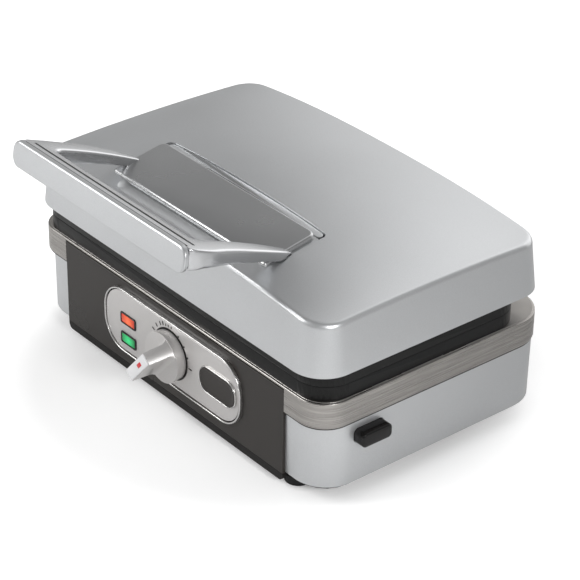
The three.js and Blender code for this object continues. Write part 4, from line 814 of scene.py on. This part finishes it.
rings = []
for plan, radius in hoop_sections():
    corners = [Vector((x, y, level(y))) for (x, y), level in zip(plan, LEVELS)]
    rings.append(rounded_section(corners, radius))
mirrored = [[Vector((-p.x, p.y, p.z)) for p in ring] for ring in rings[1:]]
hoop = sweep("handle_hoop", mirrored[::-1] + rings)
print("hoop", [round(c * 1000, 1) for c in hoop.dimensions])
done(hoop, "silver_paint", "lid", "handle_frame", sharp=40)
hoop.data.materials[0] = casting

# %% [markdown]
# Two fine grooves run along the top of the bar, dark only from the shade inside them. Cutting them
# would break up the smooth top, so each is a thin black rod that follows the fall of the top and
# stands out by a hair: its black is painted shade.

# %% Painted shade of the grooves on the bar
GROOVE_HALF, GROOVE_DEEP, GROOVE_PROUD = 1.0, 0.3, 0.12


# A black rod in each groove: its black is painted shade of the groove.
def groove(name, y, reach):
    section = ((-GROOVE_HALF, -GROOVE_DEEP), (-GROOVE_HALF, GROOVE_PROUD),
               (GROOVE_HALF, GROOVE_PROUD), (GROOVE_HALF, -GROOVE_DEEP))
    height = hoop_top(y)
    fall = hoop_top(y + 1.0) - height
    rod = sweep(name, [[Vector((x, y + a, height + b + fall * a)) for a, b in section]
                       for x in (-reach, reach)])
    return done(rod, "black_plastic", "lid")


groove("bar_groove_front", -133.6, 95.0)
groove("bar_groove_rear", -126.5, 93.0)

# %% [markdown]
# The strip on the front of the bar is a separate bright moulding with rounded ends that leans
# back with the bar. Behind the hoop a thin plate with chamfered sides fills its foot and rises
# with the seat. Both are made flat, and their vertices are then moved to the slope.

# %% Strip and plate of the handle
STRIP_LEAN, STRIP_FOOT = 0.17, 179.2
PLATE_SLOPE, PLATE_FRONT = 7.6 / 41.5, -58.5

strip = slab("handle_strip", (0, -139.0, 189.15), (101.3, 9.95), 8, 2.0, roundover(1.6, 5),
             segments=12)
for vertex in strip.data.vertices:
    vertex.co.y += STRIP_LEAN * (vertex.co.z - STRIP_FOOT * MM)
done(strip, "silver_paint", "lid", "handle_face", sharp=50)

seat_plate = slab("handle_plate", (0, -40.4, 153.2), (88.4, 23.25), (2.3, 6), 1.6,
                  [(0.25, 0.7), (0.5, 0.6), (0.6, 0.35), (0.4, 0.15)], "up", 8)
for vertex in seat_plate.data.vertices:
    vertex.co.z += PLATE_SLOPE * (vertex.co.y - PLATE_FRONT * MM)
done(seat_plate, "silver_paint", "lid", sharp=20)
# The darker paint on the plate is painted shade.
seat_plate.data.materials[0] = plate_shaded_paint

# %% [markdown]
# The slot behind the plate is filled by a bar in the lid's silver. It is narrower than the slot,
# which leaves a dark gap all round, and its top is lifted to the crown of the lid.

# %% Slot liner
LINER_TOP, LINER_SUNK = 155.8, 1.0

liner = slab("slot_liner", (0, -12.6, 154.6), (88.0, 3.2), 3.1, 1.0, [(0.3, 0.2)], "up", 8,
             divided=20)
for vertex in liner.data.vertices:
    if vertex.co.z > 155 * MM:
        level = LID_CREST + crown(vertex.co.x / MM, -11.0) - LINER_SUNK
        vertex.co.z += (level - LINER_TOP) * MM
done(liner, "silver_paint", "lid")

# %% [markdown]
# ## Steel band
# The band is one folded sheet: a skirt round the body, a small bead on its top edge and a flat
# deck inwards of it. The solid outline is made first and hollowed with cutters, because the
# bead, the deck and the window then meet without gaps; a notch lets the front panel come up
# behind the bead.

# %% Steel band
band = outline("band_sheet", (0, MIDDLE_Y, 63.8), (169.6, 108.2), (22.3, 29.6), segments=18)
steps("up", [(0, 0.4)])
widen(170 / 169.6, 108.6 / 108.2, MIDDLE_Y)
steps("up", [(0, 19.0), *roundover(0.9, 4), (0.5, 0), *roundover(0.5, 3, hollow=True)])
bpy.ops.object.mode_set(mode="OBJECT")
tool(band, slab("hollow", (0, MIDDLE_Y, 60), (169.0, 107.6), (21.7, 29.0), 22.6, facing="up",
                segments=18))
tool(band, slab("window", (0, 17.3, 60), (154.1, 81.7), 11.6, 40, facing="up", segments=12))
tool(band, brick((-131, -90, 60), (131, -75.6, 82.7)))
done(band, "brushed_steel", "base", "steel_deck", sharp=40)

# %% [markdown]
# Under the band a black ring stands for the shade in the gap to the covers: painted shade. It is a
# ring, as are the bright rims on the front: rings of the outline climb, turn over and come down
# again, the middle face is taken out and both ends are bridged.

# %% Rings
def ring(name, centre, half, radius, moves, facing="front"):
    piece = outline(name, centre, half, radius, facing, 16)
    steps(facing, [(0.02, 0), *moves])
    bpy.ops.mesh.delete(type="FACE")
    bpy.ops.mesh.select_mode(type="EDGE")
    bpy.ops.mesh.select_non_manifold()
    bpy.ops.mesh.bridge_edge_loops()
    bpy.ops.object.mode_set(mode="OBJECT")
    return piece


# A black ring under the band: painted shade of the gap between band and covers.
seam_shade = ring("band_seam", (0, MIDDLE_Y, 62.95), (169.45, 108.05), (22.2, 29.4),
            [(0.01, 0.88), (1.2, 0), (0.01, -0.88)], "up")
done(seam_shade, "black_plastic", "base")

# %% [markdown]
# ## Escutcheon, lamps and badge
# The controls sit on a pale capsule with a bright rim. The rim's own edge is half a round on
# either side of a narrow top.

# %% Capsule and rim
DIAL = (3.75, 48.5)
PANEL_Y, CAPSULE_Y = -79.9, -81.65


def domed_rim(name, centre, half, radius, up, edge, top, down):
    """A bright rim: up, over a half round and down again."""
    over = [*roundover(*edge), (top, 0), *[(a, -b) for a, b in roundover(*edge, hollow=True)]]
    return ring(name, centre, half, radius, [(0.01, up), *over, (0.01, -down)])


capsule = slab("control_capsule", (DIAL[0], PANEL_Y, DIAL[1]), (80.0, 24.8), 21.1, 1.2,
               roundover(0.5, 3))
done(capsule, "silver_plastic", "base", "escutcheon")
rim = domed_rim("control_rim", (DIAL[0], PANEL_Y, DIAL[1]), (82.1, 26.9), 23.2,
                1.9, (0.55, 5), 0.15, 1.4)
done(rim, "polished_trim", "base", "escutcheon_bezel", sharp=60)

# %% [markdown]
# Each lamp shows as a small glass pane with soft edges in a dark frame.

# %% Lamps
PANE_X, PANES = -48.3, {"red": 51.3, "green": 34.4}

for colour, z in PANES.items():
    frame_ring = ring(f"lamp_frame_{colour}", (PANE_X, CAPSULE_Y, z), (9.5, 4.9), 1.8,
                      [(0.01, 0.5), (0.3, 0.2), (0.9, 0), (0.1, -0.5)])
    done(frame_ring, "gloss_black", "base")
    glass = slab(f"lamp_glass_{colour}", (PANE_X, CAPSULE_Y, z), (8.2, 3.6), 1.5, 0.25,
                 [(0.15, 0.2), (0.4, 0.2), (0.8, 0.12)])
    done(glass, f"{colour}_lens", "base", f"lamp_lens_{colour}", sharp=60)

# %% [markdown]
# The badge is a blank dark dish, a little sunk towards its middle, in a bright rim.

# %% Badge
BADGE = (60.3, -81.7, 49.1)

badge = slab("badge_dish", BADGE, (20.1, 10.1), 9.2, 0.9,
             [*roundover(0.4, 3), (1.2, -0.25), (2.0, -0.1)])
done(badge, "panel_black", "base", "badge_plate", sharp=50)
badge_rim = domed_rim("badge_rim", BADGE, (21.35, 11.3), 10.4, 1.05, (0.42, 4), 0.08, 0.7)
done(badge_rim, "polished_trim", "base", "badge_ring", sharp=60)

# %% [markdown]
# Generic marks round the knob show where it points: long bars, short bars and three dots. They
# could be one picture, but as thin solids they stay sharp. Each is made at the origin and then
# turned and set down round the dial.

# %% Marks of the dial
def set_down(piece, turn, place):
    """Turns a piece about the knob's axis and moves it to its place, all in its mesh."""
    take(piece)
    piece.rotation_euler = (0, -turn, 0)
    piece.location = Vector(place) * MM
    bpy.ops.object.transform_apply(location=True, rotation=True, scale=True)
    return piece


def mark_at(name, angle, near, far, width):
    piece = slab(name, (0, 0, 0), ((far - near) / 2, width / 2), width * 0.49, 0.15,
                 [(0.08, 0.06)], segments=4)
    turn, middle = math.radians(angle), (near + far) / 2
    place = (DIAL[0] + middle * math.cos(turn), CAPSULE_Y, DIAL[1] + middle * math.sin(turn))
    return done(set_down(piece, turn, place), "black_plastic", "base")


MARKS = [(angle, 22.0, 25.2, 0.9) for angle in (150, 134.5, 121, 112)]
MARKS += [(angle, 21.6, 23.8, 0.7) for angle in (103.5, 95.5, 86.5)]
MARKS += [(angle, 20.9, 22.3, 1.39) for angle in (63, 40, 17)]
MARKS += [(-4, 21.8, 25.4, 0.9)]
for i, (angle, near, far, width) in enumerate(MARKS):
    mark_at(f"dial_mark_{i + 1}", angle, near, far, width)

# %% [markdown]
# ## Knob
# The knob is a short drum with a grip across it. The grip's section has hollow feet that run
# into the drum; it is crossed with a cone so that its ends stay round. Drum and grip become one
# solid, so that one bevel rounds every edge, also where they meet.

# %% Knob body
KNOB_BACK, KNOB_TURN = -82.2, math.radians(49)
KNOB_AT = (DIAL[0], KNOB_BACK, DIAL[1])
DRUM, GRIP = 8.0, 20.6
FOOT_HALF, FOOT_HOLLOW, GRIP_HALF = 8.4, (3.3, 5.5), 4.9


def round_body(radius, top_radius, start, depth):
    clear()
    bpy.ops.mesh.primitive_cone_add(
        vertices=112, radius1=radius * MM, radius2=top_radius * MM, depth=depth * MM,
        location=(0, -(start + depth / 2) * MM, 0), rotation=(math.pi / 2, 0, 0))
    piece = bpy.context.object
    bpy.ops.object.transform_apply(location=True, rotation=True, scale=True)
    return piece


profile = [(-FOOT_HALF, -0.5), (-FOOT_HALF, 0.0)]
for i in range(0, 9):
    turn = i / 8 * math.pi / 2
    profile.append((-FOOT_HALF + FOOT_HOLLOW[0] * math.sin(turn),
                    FOOT_HOLLOW[1] * (1 - math.cos(turn))))
profile += [(-GRIP_HALF, GRIP)]
profile += [(-g, h) for g, h in profile[::-1]]
grip = sweep("grip", [[Vector((x, -(DRUM + h), g)) for g, h in profile] for x in (-21, 21)])
tool(grip, round_body(19.0, 16.6, DRUM - 0.5, GRIP + 0.5), "INTERSECT")
knob = round_body(19.2, 20.0, 0, DRUM)
knob.name = "knob_body"
tool(knob, grip, "UNION")
modify(knob, "BEVEL", width=0.7 * MM, segments=3, limit_method="ANGLE",
       angle_limit=math.radians(42), use_clamp_overlap=True)
done(set_down(knob, KNOB_TURN, KNOB_AT), "silver_plastic", "knob", "control_knob", sharp=38)

# %% [markdown]
# A white inlay with a red mark closes the grip, and a black ring behind the drum stands for the
# shadow gap there: painted shadow.

# %% Inlay, mark and painted shadow ring
FACE = DRUM + GRIP

cap = slab("knob_inlay", (0, -(FACE + 0.05), 0), (15.9, 4.5), 1.0, 0.5, roundover(0.5, 3))
done(set_down(cap, KNOB_TURN, KNOB_AT), "white_plastic", "knob", "knob_cap", sharp=50)
red = slab("knob_mark", (4.7, -(FACE + 1.0), 0), (2.9, 1.5), 0.4, 0.2, [(0.1, 0.08)])
done(set_down(red, KNOB_TURN, KNOB_AT), "red_plastic", "knob", "knob_pointer", sharp=50)
# A black ring behind the drum: painted shadow of the gap between knob and panel.
shadow_ring = round_body(20.6, 20.3, -0.5, 0.4)
shadow_ring.name = "knob_washer"
done(set_down(shadow_ring, 0, KNOB_AT), "black_plastic", "base")

# %% [markdown]
# ## Release buttons
# Each button is a flange inside the wall and a rounded block that comes through it. The hole in
# the cover is a little larger, so that the button can sink in. Both are one slab that steps in
# behind the wall.

# %% Buttons
BUTTON_OUT, BUTTON_HALF, BUTTON_CORNER = 178.9, (15.2, 7.5), 5.4
FLANGE, BUTTON_ROUND, BUTTON_CROWN = 1.8, 1.6, 0.2
BUTTONS = (
    ("lower_button_block", "right", 163.8, LOWER_BUTTON_Z, "lower_release_button",
     "lower_release"),
    ("upper_button_block", "left", -161.4, UPPER_BUTTON_Z, "upper_release_button",
     "upper_release"),
)
for name, facing, x, z, node, body in BUTTONS:
    length = BUTTON_OUT - abs(x) - FLANGE - BUTTON_ROUND - BUTTON_CROWN
    block = slab(name, (x, BUTTON_Y, z), BUTTON_HALF, BUTTON_CORNER, FLANGE,
                 [(1.9, 0), (0, length), *roundover(BUTTON_ROUND, 5), (1.2, BUTTON_CROWN)],
                 facing)
    done(block, "gloss_black", body, node, sharp=50)

# %% [markdown]
# ## Camera, floor and light
# The camera stands where the photograph was taken. Its heading, its height over the grill and a
# slight roll give the three axes of its matrix; aiming it with a constraint would lose the roll.

# %% Camera
CAMERA_AT, CAMERA_LENS, CAMERA_SENSOR = (1.137718, -0.909392, 0.933188), 142.02, 36
azimuth, elevation, roll = (math.radians(a) for a in (50.37, 30.62, 0.92))
back = Vector((math.sin(azimuth) * math.cos(elevation), -math.cos(azimuth) * math.cos(elevation),
               math.sin(elevation)))
level = Vector((math.cos(azimuth), math.sin(azimuth), 0))
rise = back.cross(level)
right = math.cos(roll) * level + math.sin(roll) * rise
up = -math.sin(roll) * level + math.cos(roll) * rise
camera = bpy.data.objects.new("camera", bpy.data.cameras.new("camera"))
bpy.context.scene.collection.objects.link(camera)
place = Matrix((right, up, back)).transposed().to_4x4()
place.translation = CAMERA_AT
camera.matrix_world = place
camera.data.lens = CAMERA_LENS
camera.data.sensor_width = CAMERA_SENSOR
bpy.context.scene.camera = camera
print("camera at", [round(c, 3) for c in camera.matrix_world.translation])

# %% [markdown]
# A white floor keeps the soft shadow. For the camera alone it also glows, less near the grill
# and more further out, so that it passes into the white behind it and the shadow stays.

# %% Floor
FLOOR_GLOW, GLOW_SPAN = (0.25, 0.62), (0.165, 0.24)


def maths(tree, operation, *values):
    """A sum on sockets and plain numbers."""
    node = tree.nodes.new("ShaderNodeMath")
    node.operation = operation
    for value, socket in zip(values, node.inputs):
        if isinstance(value, (int, float)):
            socket.default_value = value
        else:
            tree.links.new(value, socket)
    return node.outputs[0]


def camera_ray(tree):
    return tree.nodes.new("ShaderNodeLightPath").outputs["Is Camera Ray"]


clear()
bpy.ops.mesh.primitive_plane_add(size=8, location=(0, 0, 0))
floor = bpy.context.object
floor.name = "floor"
floor_finish = finish("floor_finish", (0.86, 0.86, 0.86), 0.9, Emission_Color=(1, 1, 1, 1))
grain(floor_finish, "noise", 3, tone=(0.995, 1.005))
tree = floor_finish.node_tree
middle_out = tree.nodes.new("ShaderNodeVectorMath")
middle_out.operation = "LENGTH"
tree.links.new(tree.nodes.new("ShaderNodeTexCoord").outputs["Object"], middle_out.inputs[0])
glow = spread(tree, middle_out.outputs["Value"], *FLOOR_GLOW, GLOW_SPAN)
tree.links.new(maths(tree, "MULTIPLY", camera_ray(tree), glow),
               tree.nodes["Principled BSDF"].inputs["Emission Strength"])
floor.data.materials.append(floor_finish)
print("floor", [round(c, 1) for c in floor.dimensions])

# %% [markdown]
# Most of the light comes from the world, as from a studio with one bright wall. It is brightest
# behind the grill and falls off to both sides, which gives the lid, the hoop and the trim their
# long soft gradients; overhead it is weaker again, so that the lid keeps its tone. The camera
# itself sees plain white, while metal mirrors the graded light.

# %% World
WALL_HEADING, WALL_SPREAD, WALL_LIGHT = 100, (5, 46), (1.95, 0.36)
OVERHEAD_SPAN, OVERHEAD_LIGHT = (0.64, 0.85), (1.0, 0.55)

world = bpy.data.worlds.new("studio")
bpy.context.scene.world = world
world.use_nodes = True
tree = world.node_tree
background = tree.nodes["Background"]
background.inputs["Color"].default_value = (1, 1, 1, 1)
way = tree.nodes.new("ShaderNodeSeparateXYZ")
tree.links.new(tree.nodes.new("ShaderNodeTexCoord").outputs["Generated"], way.inputs["Vector"])
heading = maths(tree, "ARCTAN2", way.outputs["Y"], way.outputs["X"])
aside = maths(tree, "ABSOLUTE", maths(tree, "SUBTRACT", heading, math.radians(WALL_HEADING)))
wall = spread(tree, aside, *WALL_LIGHT, [math.radians(a) for a in WALL_SPREAD])
overhead = spread(tree, way.outputs["Z"], *OVERHEAD_LIGHT, OVERHEAD_SPAN)
seen = tree.nodes.new("ShaderNodeMix")
seen.inputs["B"].default_value = 1.0
tree.links.new(camera_ray(tree), seen.inputs["Factor"])
tree.links.new(maths(tree, "MULTIPLY", wall, overhead), seen.inputs["A"])
tree.links.new(seen.outputs["Result"], background.inputs["Strength"])
print(len(tree.nodes), "nodes light the world")

# %% [markdown]
# Two lamps help: a large soft one fills in the front from the left, and a small dim one over the
# floor at the right lightens the shadow there without reaching the grill.

# %% Lamps of the studio
LAMPS = {
    "floor_lamp": ((0.9, -0.2, 0.5), (0.28, -0.24, 0), 0.25, 0.9, 80),
    "front_left": ((-1.0, -1.3, 1.1), (0, 0, 0.1), 1.1, 22, 180),
}
for name, (spot, aim, size, power, opening) in LAMPS.items():
    lamp = bpy.data.objects.new(name, bpy.data.lights.new(name, "AREA"))
    lamp.data.size = size
    lamp.data.energy = power
    lamp.data.spread = math.radians(opening)
    lamp.location = spot
    lamp.rotation_euler = (Vector(aim) - Vector(spot)).to_track_quat("-Z", "Y").to_euler()
    bpy.context.scene.collection.objects.link(lamp)
bpy.context.scene.view_settings.view_transform = "Standard"
print(len(LAMPS), "lamps")
